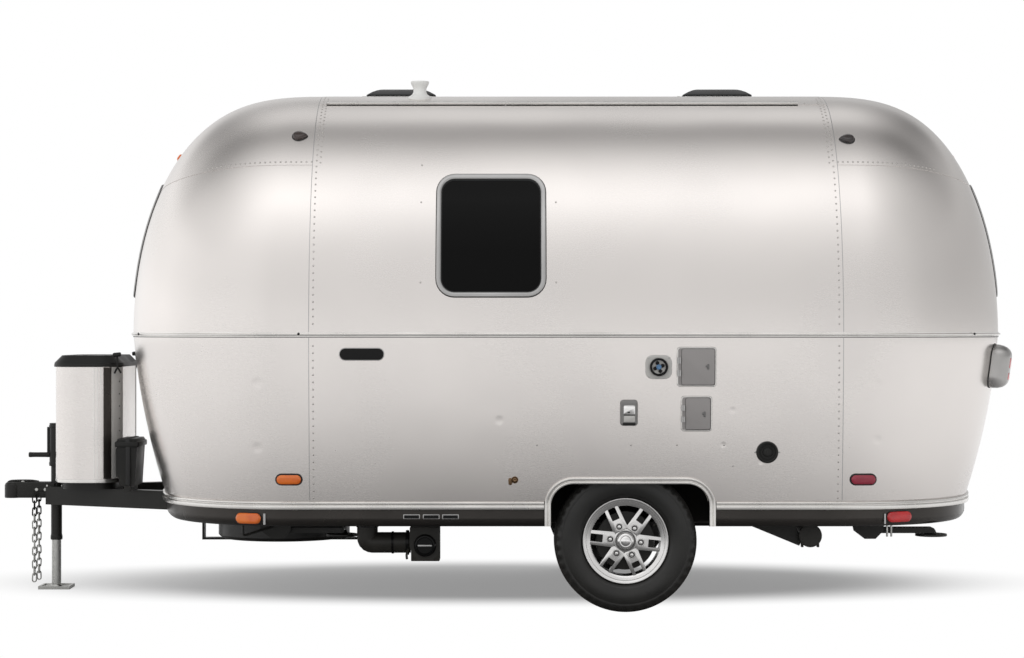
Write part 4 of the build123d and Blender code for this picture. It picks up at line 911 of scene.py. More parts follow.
def stations_round(end, x_road, x_kerb, first):
    """Stations from one side round an end of the body to the other side."""
    ends, sides = 48, 12
    joint = joint_x(end)
    x0, x1 = (x_road, x_kerb) if first < 0 else (x_kerb, x_road)
    stations = [("side", first, x0 + (joint - x0) * i / sides) for i in range(sides)]
    stations += [("cap", end, first * (1 - 2 * i / ends)) for i in range(ends)]
    return stations + [("side", -first, joint + (x1 - joint) * i / sides) for i in range(sides + 1)]


def rail(name, stations, z, skin_z, profile, material):
    """A strip of one section laid round the body: the section is (height, distance out)."""
    marks = [(round_point(s, skin_z, 0), round_point(s, skin_z, 1)) for s in stations]

    def place(i, k):
        up, out = profile[i]
        p = marks[k][0].lerp(marks[k][1], out)
        return Vector((p.x, p.y, z + up))
    return finished(name, ringed(len(profile), len(stations), place, start=True, end=True), material)


BELT_BEAD = mm(-11, 0.8, -11, 4.2, -6.2, 4.2, -5.8, 8.5, -3.5, 11.8, 0, 13, 3.5, 11.8, 5.8, 8.5, 6.2, 4.2,
    11, 4.2, 11, 0.8)
SILL_RAIL = mm(41, -7.4, 41, 3, 39.5, 8.5, 36, 12.5, 31.5, 13, 28.5, 10.5, 27.5, 5, 23.5, 4.5, 22.5, 9.5,
    19, 12.5, 8, 13.4, 2.5, 11.5, 0, 6, 0, -7.4)
ARCH_BAND = mm(0, 0.6, 0, 11, 2.5, 15, 8, 16, 12, 14.8, 13.5, 11, 16.5, 10.8, 18.5, 14, 24, 15.2, 30, 14,
    33, 9, 33, 0.6)


def make_rails():
    lap = 0.027
    road_part = stations_round(1, 0.3, DOOR[1] + lap, 1)
    road_part = road_part[:-1] + stations_round(-1, 0.3, DOOR[0] - lap, -1)
    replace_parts(rail("belt_bead", road_part, BELT_Z, BELT_Z + 0.001, BELT_BEAD, bead_metal), "belt_rail")
    # A dark strip just under the belt bead: painted shadow of the bead, not a gasket.
    gasket = mm(-14.8, 0.8, -14.8, 3, -11.2, 4, -10.6, 0.8)
    rail("belt_painted_shadow", road_part, BELT_Z, BELT_Z + 0.001, gasket, black_gum_and_shadow)
    edge = 0.0334
    back = stations_round(1, ARCH[1] + edge, ARCH[1] + edge, 1)
    nose = stations_round(-1, ARCH[0] - edge, ARCH[0] - edge, -1)
    for label, stations in (("rear", back), ("front", nose)):
        piece = rail(f"rub_rail_{label}", stations, 0.488, SILL_Z, SILL_RAIL, bead_metal)
        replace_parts(piece, "rub_rail")


def arch_path(grow, k, steps):
    """Point of the wheel opening's edge, from the foot of its front leg to that of its rear leg."""
    x0, x1, top, radius = ARCH
    x0, x1, top, radius = x0 - grow, x1 + grow, top + grow, radius + grow
    low = 0.4125
    leg, bend = 6, 10
    flat = steps - 2 * (leg + bend)
    if k < leg:
        return x0, low + (top - radius - low) * k / leg
    if k < leg + bend:
        a = pi / 2 * (k - leg) / bend
        return x0 + radius * (1 - cos(a)), top - radius + radius * sin(a)
    if k < leg + bend + flat:
        return x0 + radius + (x1 - x0 - 2 * radius) * (k - leg - bend) / flat, top
    if k < leg + 2 * bend + flat:
        a = pi / 2 * (k - leg - bend - flat) / bend
        return x1 - radius * (1 - sin(a)), top - radius + radius * cos(a)
    return x1, top - radius - (top - radius - low) * (k - leg - 2 * bend - flat) / (leg - 1)


def make_arch_bands():
    bm = bmesh.new()
    steps = 48
    for side in (-1, 1):
        def place(i, k):
            grow, out = ARCH_BAND[i]
            x, z = arch_path(grow, k, steps)
            p = side_skin(side, x, max(z, SILL_Z), out)
            return Vector((p.x, p.y, z if z < SILL_Z else p.z))
        ringed(len(ARCH_BAND), steps, place, start=True, end=True, bm=bm)
    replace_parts(finished("arch_bands", bm, bead_metal), "arch_trims")


def make_gutters():
    """Gutter rails beside the roof: a bright lip over a dark strip that paints its shadow, jointed on each
    side.
    """
    lips, shadow_strips = bmesh.new(), bmesh.new()
    lip = mm(-16, 3.5, -16, 12, -12, 14, 10, 14, 16, 11, 16, 3.5)
    # The dark strip under each lip is painted shadow.
    gap = mm(-21, 3, -21, 5.2, -15.5, 6.2, -15.5, 3)
    for side in (-1, 1):
        for x0, x1 in ((-0.86, 0.015), (0.019, 1.45)):
            for section_points, bm in ((lip, lips), (gap, shadow_strips)):
                def place(i, k):
                    up, out = section_points[i]
                    z = height_at(asin(sqrt(1 - ((ROOF_SEAM_Y - up) / HALF_WIDTH) ** 3)))
                    return side_skin(side, (x0, x1)[k], z, out)
                ringed(len(section_points), 2, place, start=True, end=True, bm=bm)
    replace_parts(finished("gutter_lips", lips, bead_metal), "roof_rails")
    finished("gutter_shadows", shadow_strips, black_gum_and_shadow)


# Windows and door
FRAME_SECTION = mm(0, 0.6, 0, 8.5, 2.2, 11.2, 6, 12, 14, 11.8, 19, 10, 21.5, 7, 22, -2, 20, -15, 6, -15)
OUTER_GUM = mm(-3.5, 0.8, -3.5, 4, -1.5, 5.6, 0.8, 5, 0.8, 0.8)
INNER_GUM = mm(20.5, -4, 20.5, 3, 24.5, 1.5, 27, -2, 27, -4)


def make_windows():
    frames, gums = bmesh.new(), bmesh.new()
    places = [(on_side(side, x, WINDOW[2]), WINDOW) for x, side in WINDOWS]
    places += [(on_end(end, 0, END_WINDOW[2]), END_WINDOW) for end in (-1, 1)]
    for place, (width, height, _, radius) in places:
        outline = box_outline(width, height, radius, 64)
        trim_ring(place, outline, 64, FRAME_SECTION, frames)
        trim_ring(place, outline, 64, OUTER_GUM, gums)
        trim_ring(place, outline, 64, INNER_GUM, gums)
    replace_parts(finished("window_trims", frames, frame_metal), "window_frames")
    finished("window_gaskets", gums, black_gum_and_shadow)


def make_door():
    """Outer skin, seal, window trim and handle of the entry door."""
    x0, x1, z0, z1, radius = DOOR
    x0, x1, z0, z1, radius = x0 + 0.004, x1 + 0.023, z0 - 0.023, z1 + 0.023, radius + 0.011
    mid_x, half_x, mid_z, half_z = (x0 + x1) / 2, (x1 - x0) / 2, (z0 + z1) / 2, (z1 - z0) / 2

    def place(u, v):
        if v < 0.25:
            a = pi / 2 * v / 0.25
            z, pull = -half_z + radius * (1 - cos(a)), radius * (1 - sin(a))
        elif v > 0.75:
            a = pi / 2 * (1 - v) / 0.25
            z, pull = half_z - radius * (1 - cos(a)), radius * (1 - sin(a))
        else:
            z, pull = (-half_z + radius) + (2 * half_z - 2 * radius) * (v - 0.25) / 0.5, 0
        return side_skin(1, mid_x + (u * 2 - 1) * (half_x - pull), mid_z + z, 0.0062)
    glass = (-0.49, 1.72, 0.4, 0.48, 0.063)
    sheet("skin_door", 24, 48, place, [side_cutter(1, *glass)], "door", thickness=0.0056)
    frame = [(inset, out + 0.0045 if inset < 0.0225 else out) for inset, out in FRAME_SECTION]
    outline = box_outline(glass[2] + 0.044, glass[3] + 0.044, glass[4] + 0.022, 64)
    finished("door_window_trim", trim_ring(on_side(1, *glass[:2]), outline, 64, frame), frame_metal, "door")
    gum = [(inset, out + 0.0045) for inset, out in OUTER_GUM]
    bm = trim_ring(on_side(1, *glass[:2]), outline, 64, gum)
    trim_ring(on_side(1, *glass[:2]), outline, 64, INNER_GUM, bm)
    finished("door_window_gasket", bm, black_gum_and_shadow, "door")
    seal = mm(-31.5, 0.6, -31.5, 3.4, -21, 3.4, -21, 0.6)
    outline = box_outline(DOOR[1] - DOOR[0], DOOR[3] - DOOR[2], DOOR[4], 80)
    place = on_side(1, (DOOR[0] + DOOR[1]) / 2, (DOOR[2] + DOOR[3]) / 2)
    finished("door_seal", trim_ring(place, outline, 80, seal), black_gum_and_shadow)
    x, z = -0.215, 1.09
    plate = boss(on_side(1, x, z), box_outline(0.058, 0.128, 0.018), 48, mm(0, 5, 0, 11, 3, 14.5, 8, 15.5))
    finished("door_handle_plate", plate, black_gloss, "door")
    bends = mm(-48, 12, -47, 24, -30, 26.5, 10, 26.5, 30, 26.5, 47, 24, 48, 12)
    points = [side_skin(1, x - 0.012, z + up, out) for up, out in bends]
    grip = rod("door_handle_grip", points, 0.0055, chrome, "door", sides=12)
    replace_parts(grip, "door_handle")
    lock = turned(plug(0, 9, 4, 9, 5.5, 6), side_skin(1, x + 0.016, z + 0.03, 0.015), ACROSS, 24)
    finished("door_lock", lock, chrome, "door")


# Fittings of the road side
def make_hatches():
    """Flush lids over their frames: ahead of the hinge line the same face stays with the body."""
    rims, faces = bmesh.new(), bmesh.new()
    for name, x, z, width, height in HATCHES:
        place = on_side(-1, x, z)
        outline = box_outline(width, height, 0.016)
        trim_ring(place, outline, 48, mm(-1, 1, -1, 7, 2, 10.2, 5, 10.4, 6.6, 8.8, 6.6, 4, 6, 1), rims)
        trim_ring(place, outline, 48, mm(6.6, 1.2, 6.6, 9, 20.4, 9, 20.4, 1.2), faces)
        lid = box_outline(width - 0.0405, height - 0.0405, 0.009)
        bm = boss(place, lid, 48, mm(0, -2.6, 0, 7.2, 1.2, 9.2, 3.4, 10))
        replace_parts(finished(f"hatch_lid_{name}_face", bm, lid_metal, f"hatch_{name}"), f"hatch_lid_{name}")
        shift = 0.0058
        cover = box_outline(width - 0.03, height - 0.0165, 0.01)
        bm = boss(on_side(-1, x + shift, z), cover, 48, mm(0, 9.6, 0, 11.8, 1, 12.8, 3, 13.1))
        finished(f"hatch_lid_{name}_cover", bm, lid_metal, f"hatch_{name}")
        edge = trim_ring(on_side(-1, x + shift, z), cover, 48, mm(-1.2, 9.6, -1.2, 11.2, 0.4, 11.6, 0.4, 9.6))
        finished(f"hatch_lid_{name}_edge", edge, black_gum_and_shadow, f"hatch_{name}")
        at = (x + width / 2 - (0.039 if name == "upper" else 0.0355),
            z + (0.001 if name == "upper" else -0.002))
        latch = boss(on_side(-1, *at), box_outline(0.009, 0.026, 0.0042, 24), 24, mm(0, 12, 0, 16, 2, 17.5))
        boss(on_side(-1, at[0] - 0.006, at[1] + 0.003), box_outline(0.012, 0.012, 0.005, 24), 24,
             mm(0, 12, 0, 15.5, 2, 16.5), latch)
        finished(f"hatch_latch_{name}", latch, wheel_shade, f"hatch_{name}")
    finished("hatch_rims", rims, bead_metal)
    finished("hatch_frame_faces", faces, lid_metal)


def round_fitting(x, z, profile, segments=40, bm=None):
    """Profile of (distance out, radius) turned about a line square to the road side."""
    base = side_skin(-1, x, z)
    return turned(profile, base, (0, -1, 0), segments, bm=bm)


def make_inlet():
    x, z = 0.732, 1.158
    plate = pad(x, z, (0.124, 0.112, 0.034), mm(0, 0.8, 0, 7, 2, 9.5, 6, 10.5, 12, 10.8))
    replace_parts(finished("inlet_plate", plate, pale_plastic), "shore_inlet")
    ring = round_fitting(x, z, mm(8, 43, 26, 43, 32, 41.5, 33.8, 38.5, 33.5, 34.5, 30, 32, 12, 31.5, 8, 32,
        8, 43))
    finished("inlet_ring", ring, black_gloss)
    dish = round_fitting(x, z, plug(6, 32.5, 14.5, 32.5, 13, 16))
    finished("inlet_dish", dish, pale_plastic)
    lobes = bmesh.new()
    for i, reach in enumerate((0.0185, 0.0195, 0.0185, 0.02)):
        a = radians(20 + 90 * i)
        round_fitting(x + reach * cos(a), z + reach * sin(a), plug(12, 9.5, 20, 8.5, 21.5, 6), 20, lobes)
    finished("inlet_lobes", lobes, black_gloss)
    boss_face = round_fitting(x, z, plug(12, 13, 23, 12, 24.5, 8, 21.5, 4), 28)
    finished("inlet_contact", boss_face, blue_contact)
    screws = bmesh.new()
    for u in (-0.048, 0.048):
        for v in (-0.042, 0.042):
            round_fitting(x + u, z + v, mm(8, 0.1, 8, 5, 12.2, 4.5, 13, 0.1), 14, screws)
    finished("inlet_screws", screws, zinc)


def make_outlet():
    x, z = 0.594, 0.945
    shell = pad(x, z, (0.082, 0.121, 0.015), mm(0, 0.8, 0, 12, 3.5, 20, 9, 24.5, 14, 25.2))
    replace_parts(finished("outlet_body", shell, outlet_plastic), "side_fittings")
    flap = pad(x + 0.001, z + 0.014, (0.052, 0.042, 0.005), mm(0, 24, 0, 26.8, 1.8, 27.9))
    finished("outlet_flap", flap, chrome)
    lower = pad(x + 0.001, z - 0.026, (0.052, 0.03, 0.005), mm(0, 24, 0, 26.2, 1.8, 27.2))
    finished("outlet_lower", lower, pale_plastic)
    slot = pad(x + 0.001, z - 0.0085, (0.05, 0.006, 0.002), mm(0, 23.6, 0, 26.8, 0.6, 27.2))
    pad(x, z - 0.05, (0.06, 0.012, 0.004), mm(0, 20, 0, 25.6, 1, 26.2), slot)
    pad(x - 0.002, z + 0.004, (0.012, 0.006, 0.002), mm(0, 26, 0, 28.4), slot)
    finished("outlet_slot", slot, black_plastic)


def make_vent_and_fixture():
    x, z = 1.24, 0.76
    bm = round_fitting(x, z, mm(0.8, 0.1, 0.8, 51.5, 9, 51.5, 14, 49, 15.5, 44, 14, 39.5, 9.5, 37, 9.5, 33,
        13, 31, 12.5, 26.5, 8.5, 25, 8.5, 21.5, 13, 19.5, 15, 12, 14, 0.1))
    finished("round_vent_cap", bm, black_plastic)
    screws = bmesh.new()
    for u in (-0.057, 0.057):
        round_fitting(x + u, z, plug(0.6, 5, 4, 4.5, 5.2, 2), 14, screws)
    finished("round_vent_screws", screws, zinc)
    x, z = 0.054, 0.626
    bm = round_fitting(x + 0.008, z + 0.004, mm(0.8, 0.1, 0.8, 17, 5, 16.5, 7.5, 14, 6, 10.5, 12, 9.5,
        13.5, 6, 11, 0.1))
    pad(x - 0.013, z - 0.003, (0.018, 0.034, 0.009), mm(0, 0.8, 0, 7, 3, 10, 6, 10.5), bm)
    finished("service_fixture", bm, bronze)


def make_badge():
    """The badge's place on the road side, left bare."""
    place = on_side(-1, -0.651, 1.218)
    rim = boss(place, box_outline(0.212, 0.06, 0.029), 48, mm(0, 0.8, 0, 4.5, 1.8, 6.2, 3.6, 6.4))
    finished("badge_rim", rim, frame_metal)
    face = boss(place, box_outline(0.205, 0.053, 0.026), 48, mm(0, 5, 0, 6.8, 1.4, 7.8, 6, 8))
    finished("badge_face", face, black_gloss)


def teardrop(length, height, way):
    """Outline of a lamp cover that narrows towards the way it points."""
    def at(inset, i):
        a = 2 * pi * i / 40
        near = (1 + cos(a)) / 2
        return (way * (length / 2 - inset) * cos(a), (height / 2 - inset) * sin(a) * (1 - 0.55 * near * near))
    return at


def skirt_place(x, z, side=-1):
    """The same mapping for the dark skirt below the rub rail."""
    def at(u, v, out):
        p = side_or_cap(x + u, SILL_Z + 0.001)
        n = skin_normal(p)
        n.z = 0
        p = p + n.normalized() * (out - 0.008)
        return Vector((p.x, p.y * -side, z + v))
    return at


def make_side_lamps():
    capsule = box_outline(0.12, 0.049, 0.024)
    small = box_outline(0.124, 0.052, 0.0255)
    for label, look, x, x_skirt, z_skirt, x_top, z_top, way in (
            ("amber", amber_lens, -0.993, -1.19, 0.446, -0.967, 2.256, 1),
            ("red", red_lens, 1.69, 1.872, 0.452, 1.652, 2.241, -1)):
        lenses, bases, tops = bmesh.new(), bmesh.new(), bmesh.new()
        low = bmesh.new()
        for side in (-1, 1):
            place = on_road(x, 0.632, side)
            boss(place, small, 48, mm(-2, 0.8, -2, 5, 0, 6.8, 4, 6.8), bases)
            boss(place, capsule, 48, mm(3, 5.5, 3, 11, 5.5, 16, 10.5, 18.2, 16, 18.8), low)
            place = skirt_place(x_skirt, z_skirt, side)
            boss(place, small, 48, mm(-1, -2, -1, 4, 3, 5), bases)
            boss(place, small, 48, mm(1, 3.5, 1, 8, 4.5, 12.8, 10.5, 15, 16, 15.5), lenses)
            place = on_road(x_top, z_top, side)
            drop = teardrop(0.072, 0.046, way)
            boss(place, drop, 40, mm(-3, 0.8, -3, 5, 1, 7), bases)
            boss(place, drop, 40, mm(0, 6, 1, 12, 5, 18, 12, 21.5, 18, 22.2), tops)
        end = -1 if x < 0 else 1
        for step in (-1, 0, 1):
            place = on_end(end, step * 0.15, 2.2)
            outline = box_outline(0.074, 0.036, 0.0165)
            boss(place, outline, 48, mm(-1, 0.8, -1, 5, 3, 6), bases)
            boss(place, outline, 48, mm(2, 5, 2, 12, 6, 19, 12, 21.2), lenses)
        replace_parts(finished(f"{label}_side_lenses", low, look if label == "amber" else crimson_lens),
            f"{label}_lamps")
        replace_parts(finished(f"{label}_lenses", lenses, look), f"{label}_lamps")
        finished(f"{label}_lamp_bases", bases, black_gum_and_shadow)
        finished(f"{label}_roof_lamps", tops, dark_lens)


def make_tail_lamps():
    shells, reds, seams = bmesh.new(), bmesh.new(), bmesh.new()
    for side in (-1, 1):
        place = on_end(1, side * 0.73, 1.157)
        outline = box_outline(0.128, 0.21, 0.055)
        boss(place, outline, 48, mm(0, 1, 0.5, 22, 4, 44, 11, 62, 21, 75, 33, 83, 42, 85.5), shells)
        trim_ring(place, outline, 48, mm(-3, 0.8, -3, 4, 0.6, 5.6, 0.6, 0.8), seams)
        for v, height in ((0.022, 0.05), (-0.04, 0.034)):
            face = on_end(1, side * 0.73, 1.157 + v)
            boss(face, box_outline(0.04, height, 0.012), 48, mm(0, 83.5, 0, 86.2, 2, 87.2), reds)
    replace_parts(finished("tail_lamp_shells", shells, lamp_metal), "tail_lamps")
    finished("tail_lamp_lenses", reds, red_lens)
    finished("tail_lamp_seals", seams, black_gum_and_shadow)


def make_blank_plates():
    """Three small bare plates on the road side's skirt."""
    rims, faces = bmesh.new(), bmesh.new()
    for x in (-0.421, -0.329, -0.239):
        boss(skirt_place(x, 0.456), box_outline(0.078, 0.022, 0.002), 48, mm(0, -1, 0, 1, 0.6, 1.4), rims)
        boss(skirt_place(x, 0.456), box_outline(0.07, 0.015, 0.001), 48, mm(0, 0.6, 0, 1.7), faces)
    finished("blank_plates", rims, frame_metal)
    finished("blank_plate_faces", faces, black_gloss)
    bracket = bmesh.new()
    boss(skirt_place(-1.112, 0.444), box_outline(0.01, 0.052, 0.001), 48, mm(0, -2, 0, 6), bracket)
    boss(skirt_place(1.8, 0.444), box_outline(0.008, 0.048, 0.001), 48, mm(0, -2, 0, 6), bracket)
    finished("skirt_lamp_brackets", bracket, frame_metal)


def make_belt_screws():
    bm = bmesh.new()
    for x in (-1.745, -0.944, 2.235):
        for side in (-1, 1):
            p = on_road(x, BELT_Z + 0.002, side)(0, 0, 0.0118)
            n = skin_normal(Vector((p.x, -abs(p.y), p.z)))
            n = Vector((n.x, n.y * -side, 0)).normalized()
            turned(plug(0, 6.2, 3, 5.6, 4.5, 3), p, n, 14, bm=bm)
    finished("belt_screws", bm, black_plastic)


# Roof
def make_roof_fittings():
    for name, x in (("front", -0.516), ("rear", 1.094)):
        z0 = FLAT_Z + 0.0168

        def place(u, v, out):
            return Vector((x + u, v, z0 + out))
        bm = boss(place, box_outline(0.353, 0.353, 0.026), 48,
                  mm(0, -0.4, 0, 6, 6, 10, 30, 23, 52, 33, 70, 38.5, 84, 40.6, 120, 41.2))
        finished(f"vent_dome_{name}", bm, smoked_lid, f"vent_{name}", smooth=50)
        base = trim_ring(lambda u, v, out: Vector((x + u, v, FLAT_Z + out)), box_outline(0.378, 0.378, 0.02),
            48, mm(0, 0.2, 0, 4.2, 4, 6.2, 16, 6.6, 18, 4.4, 18, 0.2))
        finished(f"vent_flange_{name}", base, white_plastic)
    x, y = -0.409, -0.45
    z0 = height_at(asin(sqrt(1 - (abs(y) / HALF_WIDTH) ** 3)))
    top = 2.5655 - z0
    foot = mm(-22, 0.1, -22, 59, 4, 59, 10, 56, 16, 45, 23, 37, 32, 32.5, 44, 32, 53, 33.5, 62, 37.5,
        70, 42.5)
    head = [(top + a, r) for a, r in mm(-8, 45, -3, 45.8, 0, 44.5, 0, 39, -10, 36, -12, 0.1)]
    bm = turned(foot + head, (x, y, z0), UP, 48)
    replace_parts(finished("mast", bm, white_plastic, smooth=40), "roof_mast")


make_rails()
make_arch_bands()
make_gutters()
make_windows()
make_door()
make_hatches()
make_inlet()
make_outlet()
make_vent_and_fixture()
make_badge()
make_side_lamps()
make_tail_lamps()
make_blank_plates()
make_belt_screws()
make_roof_fittings()


# Wheels
def wheel_frame(side):
    """Maps (reach across, height, distance out) of a wheel seen from outside to its place."""
    def at(u, v, out):
        return Vector((WHEEL_X + u, side * (TRACK_HALF + out), WHEEL_R + v))
    return at


TYRE_HALF = mm(75, 190.8, 76.5, 203.6, 82, 207, 88, 213, 93.5, 220, 95, 222.5, 95.5, 224.5, 100, 240,
    101.8, 256, 102.4, 266, 101.8, 280, 100, 294, 99.2, 297.5, 99.8, 300, 99.5, 308, 97.5, 318, 93, 327,
    85, 333.5, 80, 335.2, 62, 336, 61, 329, 53, 329, 52, 336.2, 24, 336.4, 23, 329, 14, 329, 13, 336.5)


def make_tyre(label, side):
    loop = TYRE_HALF + [(-a, r) for a, r in reversed(TYRE_HALF)]
    loop.append(loop[0])
    middle = Vector((WHEEL_X, side * TRACK_HALF, WHEEL_R))
    steps, groove, shoulder_r, shoulder_y, tread_r = 180, 0.0045, 0.3165, 0.082, 0.322
    bm = turned(loop, middle, (0, side, 0), steps)
    for v in bm.verts:
        p = v.co - middle
        r = hypot(p.x, p.z)
        turn = int(round((atan2(p.z, p.x) + pi) / (2 * pi) * steps))
        if r > shoulder_r and abs(p.y) > shoulder_y and turn % 4 < 2:
            pull = groove / r
            v.co.x -= p.x * pull
            v.co.z -= p.z * pull
            v.co.y -= 0.002 * (1 if p.y > 0 else -1)
    piece = finished(f"tyre_{label}_tread", bm, [tyre_rubber, tread_rubber], f"wheel_{label}", smooth=50)
    for face in piece.data.polygons:
        p = face.center - middle
        if hypot(p.x, p.z) > tread_r:
            face.material_index = 1
    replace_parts(piece, f"tyre_{label}")


RIM_LOOP = mm(76.5, 203, 84.5, 203, 86.8, 201, 87, 197, 85, 192.5, 83.8, 190, 83.5, 187, 79, 185, 77.2, 180,
    76, 170, 73, 166.5, 65, 165.5, 10, 163, -30, 164, -50, 169, -74, 183, -83.8, 200, -83.8, 203, -76.5, 203,
    -74.5, 190.3, -59, 190, -45, 176.5, 45, 176.5, 59, 190, 74.5, 190.3, 76.5, 203)


def make_wheel(label, side):
    body = f"wheel_{label}"
    at = wheel_frame(side)
    middle, axis = at(0, 0, 0), (0, side, 0)
    rim = turned(RIM_LOOP, middle, axis, 96)
    piece = finished(f"rim_{label}_lip", rim, wheel_metal, body, smooth=40)
    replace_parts(piece, f"rim_{label}")
    low, high = 0.048, 0.0745
    arm = slab((0.05, -0.0345, low), (0.178, 0.0345, high), 0.0035, 2)
    for v in arm.verts:
        if v.co.x < 0.1:
            v.co.y *= 1.0 + 0.1 * (0.1 - v.co.x) / 0.05
            v.co.z += 0.003 * (0.1 - v.co.x) / 0.05 if v.co.z > 0.06 else 0
    arm = finished("arm", arm, wheel_metal, body)
    slot = slab((0.108, -0.0185, 0.0), (0.19, 0.0185, 0.1), 0.0025, 2)
    well = turned(plug(56, 14, 90, 14.5), (LUG_R, 0, 0), UP, 28)
    arm = cut(arm, slot, well)
    spokes = bmesh.new()
    turns = [radians(-6 + 60 * i) for i in range(6)]
    for turn in turns:
        before = len(spokes.verts)
        spokes.from_mesh(arm.data)
        spokes.verts.ensure_lookup_table()
        for v in spokes.verts[before:]:
            x, y, z = v.co
            v.co = at(x * cos(turn) - y * sin(turn), x * sin(turn) + y * cos(turn), z)
    bpy.data.objects.remove(arm)
    finished(f"spokes_{label}", spokes, wheel_metal, body, smooth=40)
    hub = turned(plug(40, 64, 56, 64, 60, 59, 73.5, 56, 74.5, 52), middle, axis, 48)
    spots = [at(LUG_R * cos(turn), LUG_R * sin(turn), 0) for turn in turns]
    for spot in spots:
        turned(mm(45, 14.2, 45, 20.5, 75.5, 20, 78.5, 18.5, 78.5, 16.2, 76, 14.6, 62, 14.2, 45, 14.2), spot,
            axis, 28, bm=hub)
    finished(f"hub_{label}", hub, wheel_metal, body, smooth=40)
    pockets, nuts = bmesh.new(), bmesh.new()
    for i, spot in enumerate(spots):
        turned(plug(52, 13.8, 60, 13.8), spot, axis, 24, bm=pockets)
        turned(mm(66, 0.1, 66, 10.2, 77, 10.2, 79.5, 8, 80, 0.1), spot, axis, 6, phase=0.3 * i, bm=nuts)
    finished(f"nut_pockets_{label}", pockets, wheel_shade, body)
    finished(f"wheel_nuts_{label}", nuts, chrome, body, smooth=25)
    ring = turned(mm(60, 49, 78.5, 49, 80, 47.5, 80, 43, 77, 41.5, 60, 41, 60, 49), middle, axis, 48)
    finished(f"hub_ring_{label}", ring, wheel_shade, body)
    cap = turned(mm(70, 0.1, 70, 40.5, 88, 40.2, 93, 38, 96.5, 33, 97.8, 26, 97, 23.5, 98.5, 22, 100, 12,
        100.3, 0.1), middle, axis, 48)
    finished(f"hub_cap_{label}", cap, chrome, body, smooth=40)
    drum = turned(plug(-14, 138, 30, 140, 40, 136, 42, 70, 48, 68), middle, axis, 64)
    finished(f"brake_drum_{label}", drum, black_paint, body, smooth=40)
    stem = [at(r * cos(0.5), r * sin(0.5), out) for r, out in ((0.168, 0.055), (0.16, 0.066), (0.15, 0.077))]
    rod(f"valve_{label}", stem, 0.004, black_plastic, body, sides=10)


# Drawbar and what stands on it
JACK_X, CHAIN_X = -2.3, -2.402


def make_coupler():
    bm = slab((-2.52, -0.036, 0.466), (-2.3, 0.036, 0.548), 0.007, 3)
    turned(mm(466, 0.1, 466, 44, 472, 44.8, 530, 44.8, 541, 40, 547, 30, 549, 0.1), (-2.522, 0, 0), UP, 40,
        bm=bm)
    slab((-2.415, -0.042, 0.5), (-2.33, 0.042, 0.52), 0.004, 2, bm)
    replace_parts(finished("coupler_body", bm, black_paint, smooth=40), "coupler")
    rod("coupler_lever", [(-2.559, 0, 0.505), (-2.557, 0, 0.53), (-2.545, 0, 0.549), (-2.51, 0, 0.5515),
        (-2.46, 0, 0.552), (-2.42, 0, 0.5515), (-2.392, 0, 0.546)], 0.0075, black_paint, sides=12)
    hinge = turned(plug(-26, 9, 26, 9), (-2.47, 0, 0.546), ACROSS, 20)
    finished("coupler_lever_hinge", hinge, zinc)
    bolts = bmesh.new()
    for x in (-2.395, -2.35):
        for side in (-1, 1):
            turned(plug(34, 9.5, 44, 9.5, 45.5, 8), (x, 0, 0.51), (0, side, 0), 6, phase=0.4, bm=bolts)
    finished("coupler_bolts", bolts, zinc)
    bar = turned(plug(-72, 5, 72, 5), (CHAIN_X, 0, 0.476), ACROSS, 16)
    finished("chain_bar", bar, black_paint)


def make_jack():
    bm = turned(mm(250.5, 24.5, 250.5, 30, 262, 31, 272, 30, 278, 28.2, 278, 24.5, 250.5, 24.5),
        (JACK_X, 0, 0), UP, 32)
    turned(mm(628, 28.2, 630, 37, 642, 38.5, 650, 37.2, 650, 28.2, 628, 28.2), (JACK_X, 0, 0), UP, 32, bm=bm)
    turned(mm(826, 36.2, 828, 38.5, 838, 38.5, 849, 30, 851.5, 0.1), (JACK_X, 0, 0), UP, 32, bm=bm)
    finished("jack_collars", bm, black_paint, smooth=40)
    bm = turned(plug(-5, 12.6, 4, 13.6, 12, 12.8, 70, 12.4, 84, 12.8, 96, 13.6, 101.5, 11),
        (-2.341, 0, 0.687), (-1, 0, 0), 24)
    finished("crank_grip", bm, black_plastic, smooth=40)
    bolts = bmesh.new()
    for a in (45, 135, 225, 315):
        spot = (JACK_X + 0.055 * cos(radians(a)), 0.055 * sin(radians(a)), 0)
        turned(mm(526, 0.1, 526, 9, 534, 9, 535, 0.1), spot, UP, 6, bm=bolts)
    finished("jack_bolts", bolts, zinc)
    foot = boss(lambda u, v, out: Vector((JACK_X + u, v, out)), box_outline(0.156, 0.156, 0.014, 32), 32,
                mm(0, 1, 1, 16.5, 10, 16.5, 12, 8.5))
    finished("jack_foot_rim", foot, zinc, "jack_leg")
    weld = turned(mm(8.2, 23, 8.2, 31, 14, 30, 20, 25, 20, 23, 8.2, 23), (JACK_X, 0, 0), UP, 32)
    finished("jack_foot_weld", weld, zinc, "jack_leg")


